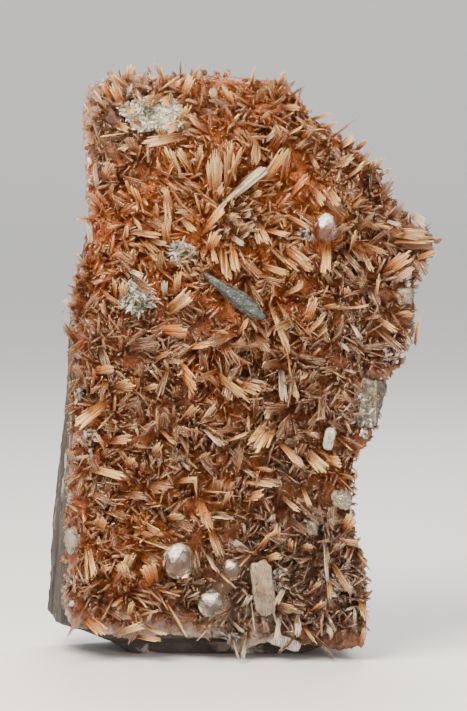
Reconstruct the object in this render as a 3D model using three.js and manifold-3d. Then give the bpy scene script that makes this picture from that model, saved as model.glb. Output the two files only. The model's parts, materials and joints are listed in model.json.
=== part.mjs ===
// An inesite specimen: a layered slab of rock that stands on its broken lower edge, with a crust of
// bladed inesite crystals on its front face, and a few crystals of other minerals set among them.
// Millimetres, +Z up, +X to the right as the crust is looked at, and -Y towards the viewer.
// The origin is the middle of the flat that the slab rests on.

import * as THREE from 'three';
import { mergeVertices } from 'three/addons/utils/BufferGeometryUtils.js';
import Module from 'manifold-3d';

const wasm = await Module();
wasm.setup();

// Depths, along Y
const ROCK_FRONT = -9;
const ROCK_BACK = 10;
const SEAT_GAP = 0.3; // between two pieces that touch
const SLIVER = 0.05; // faces narrower than this, left where blades cross, are closed up
const BED_BACK = ROCK_FRONT - SEAT_GAP;
const BED_FRONT = BED_BACK - 3; // the face of the massive inesite that the blades stand on

// The point that both outlines are seen from in one sweep, so a ring can shrink towards it
const HEART = new THREE.Vector2(1.5, 48);

// The crust's outline, anticlockwise from the top left, in X and Z
const CRUST_OUTLINE = [
  [-17.9, 94.2], [-19.5, 92], [-20.8, 88.5], [-20.5, 80.5], [-20.2, 74.1], [-20.3, 68.5],
  [-21.4, 64.8], [-22.9, 60.5], [-23.2, 56.5], [-22.7, 50.9], [-23, 42.1], [-23.4, 30.9],
  [-24, 22.9], [-24, 16.5], [-24, 9], [-22.7, 5], [-18.7, 4.2], [-13.1, 3.5],
  [-6.7, 3.7], [-1.1, 3.7], [2.4, 2.6], [4.6, 0.7], [6.9, 2.4], [11.7, 2.4],
  [17.3, 1.8], [22.8, 1.5], [24.8, 3.9], [25.1, 10.1], [25.2, 15.6], [23.4, 18.4],
  [23, 22.9], [23.2, 31.7], [25.2, 34.9], [27.3, 38.9], [28.1, 45], [30.8, 48.2],
  [32.4, 52.5], [32.9, 58.1], [33.8, 63.2], [36, 65.8], [36.4, 67.9], [33.2, 70.8],
  [29.7, 73.3], [27.2, 79.5], [24.2, 82.7], [20.4, 85.1], [16, 88.3], [14.4, 91.3],
  [11.5, 94], [4.5, 94.6], [-2.7, 94.9], [-9.9, 95.2], [-14.8, 95.3],
];

// The rock's outline at its front, in the same order, flat along the foot
const ROCK_OUTLINE = [
  [-16.8, 93], [-18.6, 91], [-19.8, 88], [-19.7, 80], [-19.5, 74], [-19.8, 68.5],
  [-21, 63], [-22.2, 57], [-22.2, 51], [-22.6, 42.1], [-23, 31], [-23.6, 22],
  [-24.2, 14], [-24.8, 8.5], [-24.9, 5.4], [-20.6, 4.2], [-16.6, 2.6], [-13, 0],
  [-8, 0], [-3, 0], [2, 0], [7, 0], [11, 0], [15, 0],
  [20, 1.4], [23.2, 3.4], [24, 10],
  [23.6, 15.6], [22, 19], [21.8, 25], [22, 31.7], [24, 36], [26, 39.5],
  [27, 45], [29.4, 48.8], [31.2, 53], [31.6, 58.5], [32.6, 63.6], [34, 66.6],
  [32, 69.6], [28.4, 72.6], [25.8, 78.6], [23, 81.6], [19.4, 84], [14.8, 87.2],
  [12.8, 90.4], [10.4, 92.6], [4, 93.2], [-3, 93.6], [-10, 93.8], [-14, 94],
];

// The slab is a stack of thin beds parallel to its face. Each steps in or out a little.
const BED_EDGES = [0, 0.15, 0.28, 0.46, 0.62, 0.8, 1]; // shares of the slab's depth
const LEDGE = 0.5; // the most that one bed stands in or out
const FLARE = 4; // how much wider the back is than the front, at the lower left
const FLARE_STARTS = 75; // the height where it begins
const FLARE_FULL = 25; // and the height from which it is whole
const BACK_TAPER = 2.4; // how much narrower the back is on the right
const FOOT_BEVEL = 2.8; // how high the first bed is broken off under the crust

// The foot: outline points in this stretch stand on the ground
const FOOT_LEFT = -13;
const FOOT_RIGHT = 15;
const FOOT_HEIGHT = 1;

// Planes that the back and the corners broke along: a point on each, and the way it faces
const BREAKS = [
  [[-8, 9.4, 70], [-0.16, 1, 0.2]], [[16, 7.6, 64], [0.42, 1, 0.16]], [[-14, 8.6, 34], [-0.3, 1, -0.02]],
  [[12, 9, 26], [0.26, 1, -0.08]], [[0, 2.5, 92.6], [0.03, 0.34, 1]], [[-18, 6, 88], [-0.9, 0.7, 0.5]],
  [[22, 5.5, 79], [0.8, 0.7, 0.55]], [[23, 7, 12], [0.9, 0.8, -0.2]], [[4, 9.7, 50], [-0.05, 1, 0.06]],
];

// A repeatable random number from 0 to 1
function dice(seed) {
  let state = seed >>> 0;
  return () => {
    state = (Math.imul(state, 1664525) + 1013904223) >>> 0;
    return state / 4294967296;
  };
}

// How far out an edge is broken at a place on the outline, from -1 to 1
function chip(x, z, level) {
  return Math.sin(0.9 * x + 0.7 * z + 2.1 * level) * Math.cos(0.43 * z - 0.6 * x + 1.7 * level);
}

// Solid from a geometry, with its shared corners joined
function solidOf(geometry) {
  const bare = geometry.clone();
  bare.deleteAttribute('normal');
  bare.deleteAttribute('uv');
  const welded = mergeVertices(bare, 1e-5);
  const mesh = new wasm.Mesh({
    numProp: 3,
    vertProperties: new Float32Array(welded.attributes.position.array),
    triVerts: new Uint32Array(welded.index.array),
  });
  return new wasm.Manifold(mesh);
}

function geometryOf(solid) {
  const { vertProperties, triVerts } = solid.getMesh();
  const geometry = new THREE.BufferGeometry();
  geometry.setAttribute('position', new THREE.BufferAttribute(vertProperties, 3));
  geometry.setIndex(new THREE.BufferAttribute(triVerts, 1));
  geometry.computeVertexNormals();
  return geometry;
}

// A flat plate with an outline in X and Z, from one depth to another
function plate(outline, near, far) {
  const shape = new THREE.Shape(outline.map(([x, z]) => new THREE.Vector2(x, z)));
  const geometry = new THREE.ExtrudeGeometry(shape, { depth: far - near, bevelEnabled: false });
  geometry.rotateX(Math.PI / 2).translate(0, far, 0);
  return solidOf(geometry);
}

// All that lies in front of a plane, as far as the specimen goes
function beyond([point, facing]) {
  const size = 200;
  const box = new THREE.BoxGeometry(size, size, size).translate(0, 0, size / 2);
  const normal = new THREE.Vector3(...facing).normalize();
  box.applyQuaternion(new THREE.Quaternion().setFromUnitVectors(new THREE.Vector3(0, 0, 1), normal));
  return solidOf(box.translate(...point));
}

// One bed of the slab: the rock's outline, stepped in or out along its broken edge
function bedOutline(share, level) {
  return ROCK_OUTLINE.map(([x, z]) => {
    const away = new THREE.Vector2(x, z).sub(HEART).normalize();
    const low = THREE.MathUtils.clamp((FLARE_STARTS - z) / (FLARE_STARTS - FLARE_FULL), 0, 1);
    const left = THREE.MathUtils.smoothstep(-x, 12, 20);
    const right = THREE.MathUtils.smoothstep(x, 8, 20);
    const push = LEDGE * chip(x, z, level);
    const px = x + away.x * push - FLARE * left * low * share - BACK_TAPER * right * share;
    const stands = x >= FOOT_LEFT && x <= FOOT_RIGHT && z < FOOT_HEIGHT;
    if (stands) return [px, level === 0 ? FOOT_BEVEL : 0];
    return [px, Math.max(z + away.y * push, 0)];
  });
}

function rock() {
  const overlap = 0.02;
  const beds = BED_EDGES.slice(1).map((end, level) => {
    const start = BED_EDGES[level];
    const near = THREE.MathUtils.lerp(ROCK_FRONT, ROCK_BACK, start);
    const far = THREE.MathUtils.lerp(ROCK_FRONT, ROCK_BACK, end) + overlap;
    return plate(bedOutline(start, level), near, far);
  });
  const slab = wasm.Manifold.union(beds);
  return BREAKS.reduce((left, plane) => left.subtract(beyond(plane)), slab);
}

// The bed of massive inesite that the blades stand on, with its front edge worn back
function crustBed() {
  const shrunk = (keep) => CRUST_OUTLINE.map(([x, z]) => [
    THREE.MathUtils.lerp(HEART.x, x, keep), THREE.MathUtils.lerp(HEART.y, z, keep),
  ]);
  const low = plate(shrunk(0.975), BED_BACK - 1.6, BED_BACK);
  return low.add(plate(shrunk(0.945), BED_FRONT, BED_BACK - 1.5));
}

// A place's distance from the heart, as a share of the outline's distance that way
function edgeShare(x, z) {
  const ray = new THREE.Vector2(x, z).sub(HEART);
  for (let k = 0; k < CRUST_OUTLINE.length; k += 1) {
    const a = new THREE.Vector2(...CRUST_OUTLINE[k]).sub(HEART);
    const b = new THREE.Vector2(...CRUST_OUTLINE[(k + 1) % CRUST_OUTLINE.length]).sub(HEART);
    const inWedge = a.cross(ray) >= 0 && ray.cross(b) >= 0 && ray.dot(a) > 0;
    if (inWedge) return ray.cross(b.clone().sub(a)) / a.cross(b);
  }
  return 0;
}

// A blade is a prism that widens a little from its root to its shoulder. A leading blade has four sides
// and a slanted chisel end. A blade of a spray has three sides and one slanted face at its tip.
function bladeSolid({ root, tip, width, thickness, roll, leading }) {
  const along = tip.clone().sub(root);
  const length = along.length();
  along.normalize();
  const across = new THREE.Vector3(along.z, 0, -along.x).normalize().applyAxisAngle(along, roll);
  const through = along.clone().cross(across);
  const at = ([w, t, s]) => root.clone()
    .addScaledVector(across, (w * width) / 2)
    .addScaledVector(through, (t * thickness) / 2)
    .addScaledVector(along, s * length);
  const shoulder = 1 - Math.min(0.3, (0.7 * width) / length);
  const [corners, faces] = leading ? chiselBlade(shoulder) : splinterBlade(shoulder);
  const geometry = new THREE.BufferGeometry().setFromPoints(corners.map(at));
  geometry.setIndex(faces.flat());
  return solidOf(geometry);
}

// Corners are shares of width, thickness and length
function chiselBlade(shoulder) {
  const corners = [
    [-0.8, -0.8, 0], [0.8, -0.8, 0], [0.8, 0.8, 0], [-0.8, 0.8, 0],
    [-1, -1, shoulder], [1, -1, shoulder], [1, 1, shoulder], [-1, 1, shoulder],
    [-0.75, 0.1, 1], [0.7, 0.1, 0.5 * (1 + shoulder)],
  ];
  const faces = [
    [0, 2, 1], [0, 3, 2], [0, 1, 5], [0, 5, 4], [1, 2, 6], [1, 6, 5], [2, 3, 7], [2, 7, 6],
    [3, 0, 4], [3, 4, 7], [4, 5, 9], [4, 9, 8], [6, 7, 8], [6, 8, 9], [5, 6, 9], [7, 4, 8],
  ];
  return [corners, faces];
}

function splinterBlade(shoulder) {
  const corners = [
    [-0.6, -0.6, 0], [0.6, -0.6, 0], [0, 0.7, 0], [-1, -0.9, 1], [1, -0.9, shoulder], [0, 1.1, shoulder],
  ];
  const faces = [[0, 2, 1], [0, 1, 4], [0, 4, 3], [1, 2, 5], [1, 5, 4], [2, 0, 3], [2, 3, 5], [3, 4, 5]];
  return [corners, faces];
}

// The blades that stand out in the specimen: root X and Z, tip X and Z, how far the tip stands off
// the bed, and width
const LEADING_BLADES = [
  [-1.4, 70.6, 8.3, 79.2, 6.5, 1.5], [8, 75.7, 12, 82.6, 6, 1.6], [0.2, 73.3, 0.3, 82, 5.5, 1.5],
  [1.9, 74.9, 3.2, 83.2, 4.5, 1.2], [2.2, 75.7, 4.6, 82.7, 5, 1.2], [-5.1, 78.1, -7.4, 82.9, 4, 1.4],
  [-2.7, 77.3, -5.4, 82.1, 4, 1.4], [6.4, 84.5, 7.2, 80, 4, 1.6], [11.2, 66.7, 16.2, 63.4, 5.5, 1.5],
  [10.7, 65.4, 13.4, 63.4, 4.5, 1.2], [6.7, 70.2, 9, 67.2, 4.5, 1.3], [1.4, 66.6, 2.7, 61.4, 5, 1.4],
  [3, 68.2, 4.2, 62.7, 5, 1.3], [-7.8, 76.8, -6.6, 70.6, 3.5, 1.3], [-5.1, 71.4, -2.9, 69.3, 4, 0.9],
  [9.4, 75.7, 11.2, 77.1, 3.5, 0.7], [9.4, 57.6, 12.3, 50.1, 4, 1], [11.7, 50.1, 13.6, 42.2, 3.5, 0.8],
  [-0.2, 46.1, 6.1, 42.6, 5, 1.6], [4.2, 45.6, 10.1, 44, 3.5, 1.1], [-1.1, 37.4, 2.2, 35.2, 4.5, 1.2],
  [2.2, 35.2, 5.8, 37, 4.5, 1], [10.9, 35.5, 14.4, 31.8, 4, 1.3], [-14.1, 62.9, -10.9, 62.1, 4.5, 1],
  [-7, 56, -3.2, 59.7, 4, 1.7], [17, 56.5, 24.6, 57.3, 4, 1.5], [14.2, 52, 18.1, 55.2, 4, 1.2],
  [-19.2, 31.4, -13.9, 29.9, 4, 1], [-3.4, 31.7, -0.6, 33.8, 4.5, 0.9], [4.6, 31.2, 6.9, 30.4, 5, 0.7],
  [5.6, 29.4, 10.9, 29.3, 5, 1.2], [-1.1, 23.8, 3.4, 24, 5, 1.2], [-0.6, 21.9, 1.1, 17.3, 5.5, 1.5],
  [-0.3, 17.1, 0.6, 15.4, 4.5, 1], [-11.5, 22.1, -8, 21, 4.5, 1.1], [-6.2, 22.9, -3.4, 21.4, 4.5, 1],
  [-13.4, 20.5, -6.7, 18.7, 4.5, 1.3], [-20.3, 17.3, -19.7, 13.6, 4.5, 1.7], [-15.4, 11.8, -13, 17.6, 4.5, 1.3],
  [-15.7, 11.4, -18.2, 17, 3.5, 1], [8, 16.6, 5.1, 18.6, 4.5, 1.3], [7.2, 16.5, 12.3, 20.6, 4, 1.2],
  [9, 9, 12.8, 8.5, 4, 1], [-19.3, 6.6, -17.3, 5.1, 4, 1.6], [20, 19, 23.5, 19.2, 4, 1.3],
  [18.1, 20, 18.6, 15.7, 4, 0.9], [20.5, 15.7, 22.1, 11.4, 4, 1], [21.6, 8.8, 24.6, 8.5, 3.5, 1.3],
  [-14.6, 70.6, -15.7, 75.4, 3.5, 1.2], [-9, 61.6, -7.7, 66.6, 4.5, 1.1], [14.7, 71, 18.4, 75.4, 3.5, 1.1],
  [24, 66, 29, 70.4, 3, 1], [21.6, 71.7, 26.4, 69.8, 3.5, 1.2], [27.5, 66.6, 35.8, 67.4, 3, 2],
  [17.6, 82.8, 22.8, 87, 2.5, 1], [17.6, 79, 22.7, 81.2, 3.5, 1.2], [-11.8, 90, -10, 94.8, 3, 1.2],
];

// Sprays of blades fill in between, on rows that are shifted about
const SPRAY_PITCH = 6.4;
const SPRAY_ROWS = 15;
const SPRAY_COLUMNS = 12;
const BLADES_IN_SPRAY = 2;
const SPRAY_SEED = 23;
const TIP_LIMIT = 1.03; // how far past the outline a tip may reach

function sprayBlades() {
  const blades = [];
  for (let row = 0; row < SPRAY_ROWS; row += 1) {
    for (let column = 0; column < SPRAY_COLUMNS; column += 1) {
      const roll = dice(7919 * row + 104729 * column + SPRAY_SEED);
      for (let warm = 0; warm < 3; warm += 1) roll();
      const x = -24 + (column + 0.5 * (row % 2) + 0.7 * (roll() - 0.5)) * SPRAY_PITCH;
      const z = 3.5 + (row + 0.7 * (roll() - 0.5)) * SPRAY_PITCH;
      if (edgeShare(x, z) > 0.94 || inClearing(x, z)) continue;
      const heading = 2 * Math.PI * roll();
      for (let k = 0; k < BLADES_IN_SPRAY; k += 1) {
        blades.push(sprayBlade(x, z, heading + 1.5 * (k - 1) * (0.5 + roll()), roll));
      }
    }
  }
  return blades.filter((blade) => blade);
}

function sprayBlade(x, z, heading, roll) {
  const length = 5 + 3.4 * roll();
  const rise = THREE.MathUtils.degToRad(16 + 40 * roll());
  const width = 1.5 + 0.9 * roll();
  const turn = Math.PI * roll();
  let reach = length * Math.cos(rise);
  while (edgeShare(x + reach * Math.cos(heading), z + reach * Math.sin(heading)) > TIP_LIMIT) reach *= 0.85;
  if (reach < 0.8) return null;
  const root = new THREE.Vector3(x + 0.9 * Math.cos(heading), BED_FRONT + 0.8, z + 0.9 * Math.sin(heading));
  const tip = root.clone();
  tip.x += reach * Math.cos(heading);
  tip.y -= 0.8 + length * Math.sin(rise);
  tip.z += reach * Math.sin(heading);
  return { root, tip, width, thickness: 0.75 * width, roll: turn, leading: false };
}

function leadingBlades() {
  return LEADING_BLADES.map(([rx, rz, tx, tz, off, width]) => ({
    root: new THREE.Vector3(rx, BED_FRONT + 1, rz),
    tip: new THREE.Vector3(tx, BED_FRONT - off, tz),
    width,
    thickness: 0.6 * width,
    roll: 0.5,
    leading: true,
  }));
}

// Clear apophyllite, rounded and half sunk in the crust: X, Z, how far the middle stands off the
// bed, and the half sizes in X, Y and Z
const APOPHYLLITES = {
  apophyllite_top: [18.4, 69.6, 2.2, [2.6, 2.5, 2.8]],
  apophyllite_lower_left: [-5.4, 16.4, 2.2, [2.7, 2.5, 3.1]],
  apophyllite_lower_right: [0.3, 9.6, 2.6, [2.8, 2.6, 2.5]],
  apophyllite_small: [3.2, 15, 2.4, [1.6, 1.6, 1.9]],
};

// Milky quartz grown along the edges, given as the apophyllite is
const QUARTZES = {
  quartz_left: [-22.4, 19.4, 0.6, [1.6, 1.5, 2.5]],
  quartz_right_low: [20.8, 26.2, 1.4, [2.1, 1.6, 1.8]],
  quartz_right_high: [30.9, 58.8, 0.8, [1.8, 1.6, 1.9]],
  quartz_right_foot: [16.2, 21.8, 1.6, [1.3, 1.4, 1.7]],
};

// White drusy patches, given as the apophyllite is, with a count of points
const DRUSES = {
  druse_top: [-8.8, 87.6, 0.2, [4.8, 1.8, 2.6], 10],
  druse_left: [-12, 58.8, 0.4, [2.7, 1.8, 2.6], 7],
  druse_middle: [-4.9, 65.6, 0.6, [1.9, 1.6, 2], 5],
};

// Flat crystals: X, Z, how far the middle stands off the bed, width, thickness and length, and the
// turns in degrees about Y, then X
const TABLETS = {
  quartz_plate: [25.3, 41.8, 0.1, [4.6, 3, 8.6], 14, 6],
  calcite_blade: [8.2, 12, 2, [3.4, 1.3, 9.4], -8, 10],
  white_tablet: [11.6, 3, 0.4, [5.4, 1.3, 1.9], 18, -8],
  white_prism: [18.7, 36.2, 3, [1.6, 1.6, 3.6], 10, 24],
};

// The dark spindle: its two ends as X, Z and how far they stand off the bed, and its widest half size
const SPINDLE_TAIL = [-2.4, 63.2, 1.2];
const SPINDLE_HEAD = [8.6, 55.4, 4.6];
const SPINDLE_HALF_WIDTH = 1.75;
const SPINDLE_FLATNESS = 0.6;

const pointOn = ([x, z, off]) => new THREE.Vector3(x, BED_FRONT - off, z);

function inClearing(x, z) {
  const spots = [APOPHYLLITES, QUARTZES, DRUSES].flatMap((kind) => Object.values(kind));
  return spots.some(([cx, cz, , [rx, , rz]]) => Math.hypot((x - cx) / (rx + 0.5), (z - cz) / (rz + 0.5)) < 1);
}

// A rounded crystal with flat faces. Each shape here can be grown, to cut the pocket it sits in.
function nugget([x, z, off, half], grown = 0) {
  const geometry = new THREE.IcosahedronGeometry(1, 1);
  geometry.rotateX(0.3 * x).rotateZ(0.7 * z);
  geometry.scale(...half.map((h) => h + grown)).translate(...pointOn([x, z, off]));
  return solidOf(geometry);
}

// A mound with small four-sided points all over its face
function druse([x, z, off, half, count], grown = 0) {
  const roll = dice(Math.round(97 * z));
  const middle = pointOn([x, z, off]);
  const points = [];
  for (let k = 0; k < count; k += 1) {
    const turn = 2.4 * k;
    const out = 0.8 * Math.sqrt((k + 0.5) / count);
    const lean = new THREE.Vector3(out * Math.cos(turn), -0.9, out * Math.sin(turn)).normalize();
    const seat = middle.clone().add(new THREE.Vector3(
      out * half[0] * Math.cos(turn), -half[1] * Math.sqrt(1 - out * out) + 0.5, out * half[2] * Math.sin(turn),
    ));
    const tall = 1.5 + 0.9 * roll();
    const point = new THREE.ConeGeometry(0.62 + grown, tall + 2 * grown, 4).translate(0, tall / 2, 0);
    point.applyQuaternion(new THREE.Quaternion().setFromUnitVectors(new THREE.Vector3(0, 1, 0), lean));
    points.push(solidOf(point.translate(...seat)));
  }
  return wasm.Manifold.union([nugget([x, z, off, half], grown), ...points]);
}

// A flat crystal with its long edges bevelled
function tablet([x, z, off, [width, thickness, length], turnY, turnX], grown = 0) {
  const [w, t, l] = [width / 2 + grown, thickness / 2 + grown, length / 2 + grown];
  const outline = [[-w, -0.8 * l], [-0.7 * w, -l], [0.8 * w, -l], [w, -0.7 * l], [w, 0.8 * l], [0.5 * w, l],
    [-0.8 * w, 0.9 * l], [-w, 0.6 * l]];
  const bevel = 0.3 * t;
  const shape = new THREE.Shape(outline.map(([px, pz]) => new THREE.Vector2(px * (1 - bevel / w), pz * (1 - bevel / l))));
  const options = { depth: 2 * (t - bevel), bevelThickness: bevel, bevelSize: bevel, bevelSegments: 1 };
  const geometry = new THREE.ExtrudeGeometry(shape, options).translate(0, 0, bevel - t).rotateX(Math.PI / 2);
  geometry.rotateY(THREE.MathUtils.degToRad(turnY)).rotateX(THREE.MathUtils.degToRad(turnX));
  return solidOf(geometry.translate(...pointOn([x, z, off])));
}

// A spindle: six flat sides that swell from a thin tail to two thirds of the way, then close
function spindle(grown = 0) {
  const tail = pointOn(SPINDLE_TAIL);
  const along = pointOn(SPINDLE_HEAD).sub(tail);
  const length = along.length();
  const profile = [[0, 0], [0.3, 0.12], [0.66, 0.4], [1, 0.64], [0.8, 0.84], [0.36, 0.97], [0, 1]];
  const line = profile.map(([r, s], k) => {
    const radius = r * SPINDLE_HALF_WIDTH + (r > 0 ? grown : 0);
    const end = k === 0 ? -grown : k === profile.length - 1 ? grown : 0;
    return new THREE.Vector2(radius, s * length + end);
  });
  const geometry = new THREE.LatheGeometry(line, 6).scale(1, 1, SPINDLE_FLATNESS + 0.1 * grown);
  geometry.rotateY(-0.35);
  geometry.applyQuaternion(new THREE.Quaternion().setFromUnitVectors(new THREE.Vector3(0, 1, 0), along.normalize()));
  return solidOf(geometry.translate(...tail));
}

// Each mineral of the specimen, as a solid that can be grown to cut its pocket
const guests = {
  dark_spindle: { make: (grown) => spindle(grown), color: 0x3c4044, roughness: 0.35 },
};
for (const [name, spot] of Object.entries(APOPHYLLITES)) {
  guests[name] = { make: (grown) => nugget(spot, grown), color: 0xd8d6cc, roughness: 0.1 };
}
for (const [name, spot] of Object.entries(QUARTZES)) {
  guests[name] = { make: (grown) => nugget(spot, grown), color: 0xcfc4b4, roughness: 0.3 };
}
for (const [name, spot] of Object.entries(DRUSES)) {
  guests[name] = { make: (grown) => druse(spot, grown), color: 0xd9d3c2, roughness: 0.6 };
}
for (const [name, spot] of Object.entries(TABLETS)) {
  guests[name] = { make: (grown) => tablet(spot, grown), color: 0xd5cdc4, roughness: 0.3 };
}

// The crust is the bed and its blades in one, less a pocket for each other mineral. A tip that a
// pocket cuts off is dropped.
function inesiteCrust() {
  const blades = [...leadingBlades(), ...sprayBlades()].map(bladeSolid);
  const whole = wasm.Manifold.union([crustBed(), ...blades]);
  const pockets = wasm.Manifold.union(Object.values(guests).map(({ make }) => make(SEAT_GAP)));
  const left = whole.subtract(pockets).subtract(beyond([[0, BED_BACK, 0], [0, 1, 0]]));
  return left.simplify(SLIVER).decompose().sort((a, b) => b.volume() - a.volume())[0];
}

const specimen = new THREE.Group();

function addNode(name, solid, color, roughness) {
  const material = new THREE.MeshStandardMaterial({ color, roughness, metalness: 0 });
  const mesh = new THREE.Mesh(geometryOf(solid), material);
  mesh.name = name;
  specimen.add(mesh);
}

addNode('rock', rock(), 0x6b625b, 0.9);
addNode('inesite_crust', inesiteCrust(), 0xb5673f, 0.4);
for (const [name, { make, color, roughness }] of Object.entries(guests)) {
  addNode(name, make(0), color, roughness);
}

export default specimen;
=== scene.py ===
# %% [markdown]
# An inesite specimen: a slab of layered rock with a thick crust of orange crystals on its front.
# The packed solids give every piece its place. This file dresses them: it grows more than eight
# thousand blades over the crust, roughens the rock, and gives each mineral its own finish.

# %% Load the frame
import json
import math
import random
import bpy
import bmesh
import numpy as np
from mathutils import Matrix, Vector, noise

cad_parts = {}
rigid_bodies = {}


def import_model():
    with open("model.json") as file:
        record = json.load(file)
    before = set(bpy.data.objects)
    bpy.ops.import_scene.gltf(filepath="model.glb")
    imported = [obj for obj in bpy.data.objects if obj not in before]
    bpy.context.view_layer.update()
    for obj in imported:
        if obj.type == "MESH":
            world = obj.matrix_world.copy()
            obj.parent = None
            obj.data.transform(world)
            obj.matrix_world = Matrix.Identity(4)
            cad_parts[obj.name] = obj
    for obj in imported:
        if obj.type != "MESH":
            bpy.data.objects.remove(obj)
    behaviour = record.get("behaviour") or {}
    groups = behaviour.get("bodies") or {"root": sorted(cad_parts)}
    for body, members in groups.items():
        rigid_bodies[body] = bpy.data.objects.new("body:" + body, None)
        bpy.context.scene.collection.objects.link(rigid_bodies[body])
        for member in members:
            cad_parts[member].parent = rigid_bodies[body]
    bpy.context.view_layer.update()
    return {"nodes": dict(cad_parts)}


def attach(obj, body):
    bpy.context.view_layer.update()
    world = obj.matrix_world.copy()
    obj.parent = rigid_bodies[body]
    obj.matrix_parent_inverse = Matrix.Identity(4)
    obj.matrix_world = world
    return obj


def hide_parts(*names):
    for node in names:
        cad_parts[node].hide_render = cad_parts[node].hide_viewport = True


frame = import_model()
MM = 0.001  # Blender counts in metres, and this file in millimetres
print("solids in the frame:", len(frame["nodes"]))

# %% [markdown]
# The crust is flat at the back, where it sits on the rock, and its outline was traced in millimetres.
# The same outline and depths shaped the solids, so a blade planted here lands on them.

# %% Outline and depths, in millimetres
BED_BACK = -9.3  # Y of the crust's flat back
BED_FRONT = -12.3  # Y of its front, before it swells
HEART = (1.5, 48)  # X and Z of a place well inside, which can see the whole outline
CRUST_OUTLINE = [
    (-17.9, 94.2), (-19.5, 92), (-20.8, 88.5), (-20.5, 80.5), (-20.2, 74.1), (-20.3, 68.5),
    (-21.4, 64.8), (-22.9, 60.5), (-23.2, 56.5), (-22.7, 50.9), (-23, 42.1), (-23.4, 30.9),
    (-24, 22.9), (-24, 16.5), (-24, 9), (-22.7, 5), (-18.7, 4.2), (-13.1, 3.5),
    (-6.7, 3.7), (-1.1, 3.7), (2.4, 2.6), (4.6, 0.7), (6.9, 2.4), (11.7, 2.4),
    (17.3, 1.8), (22.8, 1.5), (24.8, 3.9), (25.1, 10.1), (25.2, 15.6), (23.4, 18.4),
    (23, 22.9), (23.2, 31.7), (25.2, 34.9), (27.3, 38.9), (28.1, 45), (30.8, 48.2),
    (32.4, 52.5), (32.9, 58.1), (33.8, 63.2), (36, 65.8), (36.4, 67.9), (33.2, 70.8),
    (29.7, 73.3), (27.2, 79.5), (24.2, 82.7), (20.4, 85.1), (16, 88.3), (14.4, 91.3),
    (11.5, 94), (4.5, 94.6), (-2.7, 94.9), (-9.9, 95.2), (-14.8, 95.3),
]
print("corners of the outline:", len(CRUST_OUTLINE))

# %% [markdown]
# The crust isn't flat: its bed swells into low ridges a few millimetres apart. Smooth noise gives
# such a surface from two numbers, a height and a closeness, so no hill has to be drawn by hand.

# %% Relief of the bed
RIDGES = (1.3, 0.27)  # how far they stand out, and how close they are
RIDGE_SLICE = 3.7  # where the ridges are cut out of the noise
LUMPS = (0.35, 0.8)
KNOBS = (0.35, 1.7)
BED_DROP = 0.25  # how far the whole front lies back


def relief(x, z):
    """The ridges and valleys of the crust, from about -0.6 to 0.6."""
    return noise.noise(Vector((x * RIDGES[1], RIDGE_SLICE, z * RIDGES[1])))


def swell(x, z):
    """How far the front of the bed swells out at a place, in millimetres."""
    p = Vector((x, BED_FRONT, z))
    lumps, knobs = (height * noise.noise(p * close) for height, close in (LUMPS, KNOBS))
    return RIDGES[0] * relief(x, z) + lumps + knobs - BED_DROP


print("swell at the heart, in mm:", round(swell(*HEART), 2))

# %% [markdown]
# Much of this file asks how near a place is to the crust's edge. A ray from the heart through the
# place meets the outline once, so the answer is one number: the place's share of that ray.


# %% Share of the way out
def cross(a, b):
    return a[0] * b[1] - a[1] * b[0]


def edge_share(x, z):
    """How far out a place is: 0 at the heart of the crust and 1 on its outline."""
    ray = (x - HEART[0], z - HEART[1])
    for k, (ax, az) in enumerate(CRUST_OUTLINE):
        bx, bz = CRUST_OUTLINE[(k + 1) % len(CRUST_OUTLINE)]
        a = (ax - HEART[0], az - HEART[1])
        b = (bx - HEART[0], bz - HEART[1])
        if cross(a, ray) >= 0 and cross(ray, b) >= 0 and a[0] * ray[0] + a[1] * ray[1] > 0:
            return cross(ray, (b[0] - a[0], b[1] - a[1])) / cross(a, b)
    return 0


def drawn_in(x, z, part):
    """The place moved to this part of its way from the heart."""
    return HEART[0] + part * (x - HEART[0]), HEART[1] + part * (z - HEART[1])


print("share at the left edge:", round(edge_share(-23, 42), 2))

# %% [markdown]
# A shader is a sum of small steps. Writing the steps as Python sums keeps them readable: a Value
# holds one output of a node, and adding or multiplying two of them adds the Math node in between.


# %% Sums of shader values
class Value:
    """An output of a shader node that can be used in a sum."""

    def __init__(self, paint, socket):
        self.paint = paint
        self.socket = socket

    def __add__(self, other):
        return self.paint.maths("ADD", self, other)

    def __radd__(self, other):
        return self.paint.maths("ADD", other, self)

    def __sub__(self, other):
        return self.paint.maths("SUBTRACT", self, other)

    def __rsub__(self, other):
        return self.paint.maths("SUBTRACT", other, self)

    def __mul__(self, other):
        return self.paint.maths("MULTIPLY", self, other)

    def __rmul__(self, other):
        return self.paint.maths("MULTIPLY", other, self)


print("shader values can be added, subtracted and multiplied")

# %% [markdown]
# Each finish starts from an empty material. One method makes any node of it: it sets the node's
# options first and then fills or links its sockets. The rest are short names for the nodes that
# nearly every mineral needs, such as noise in millimetres, a mix of two colours, and a bump.


# %% Materials
def set_stops(ramp, stops):
    while len(ramp.elements) < len(stops):
        ramp.elements.new(1)
    for element, (place, colour) in zip(ramp.elements, stops):
        element.position = place
        element.color = (*colour, 1)


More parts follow.
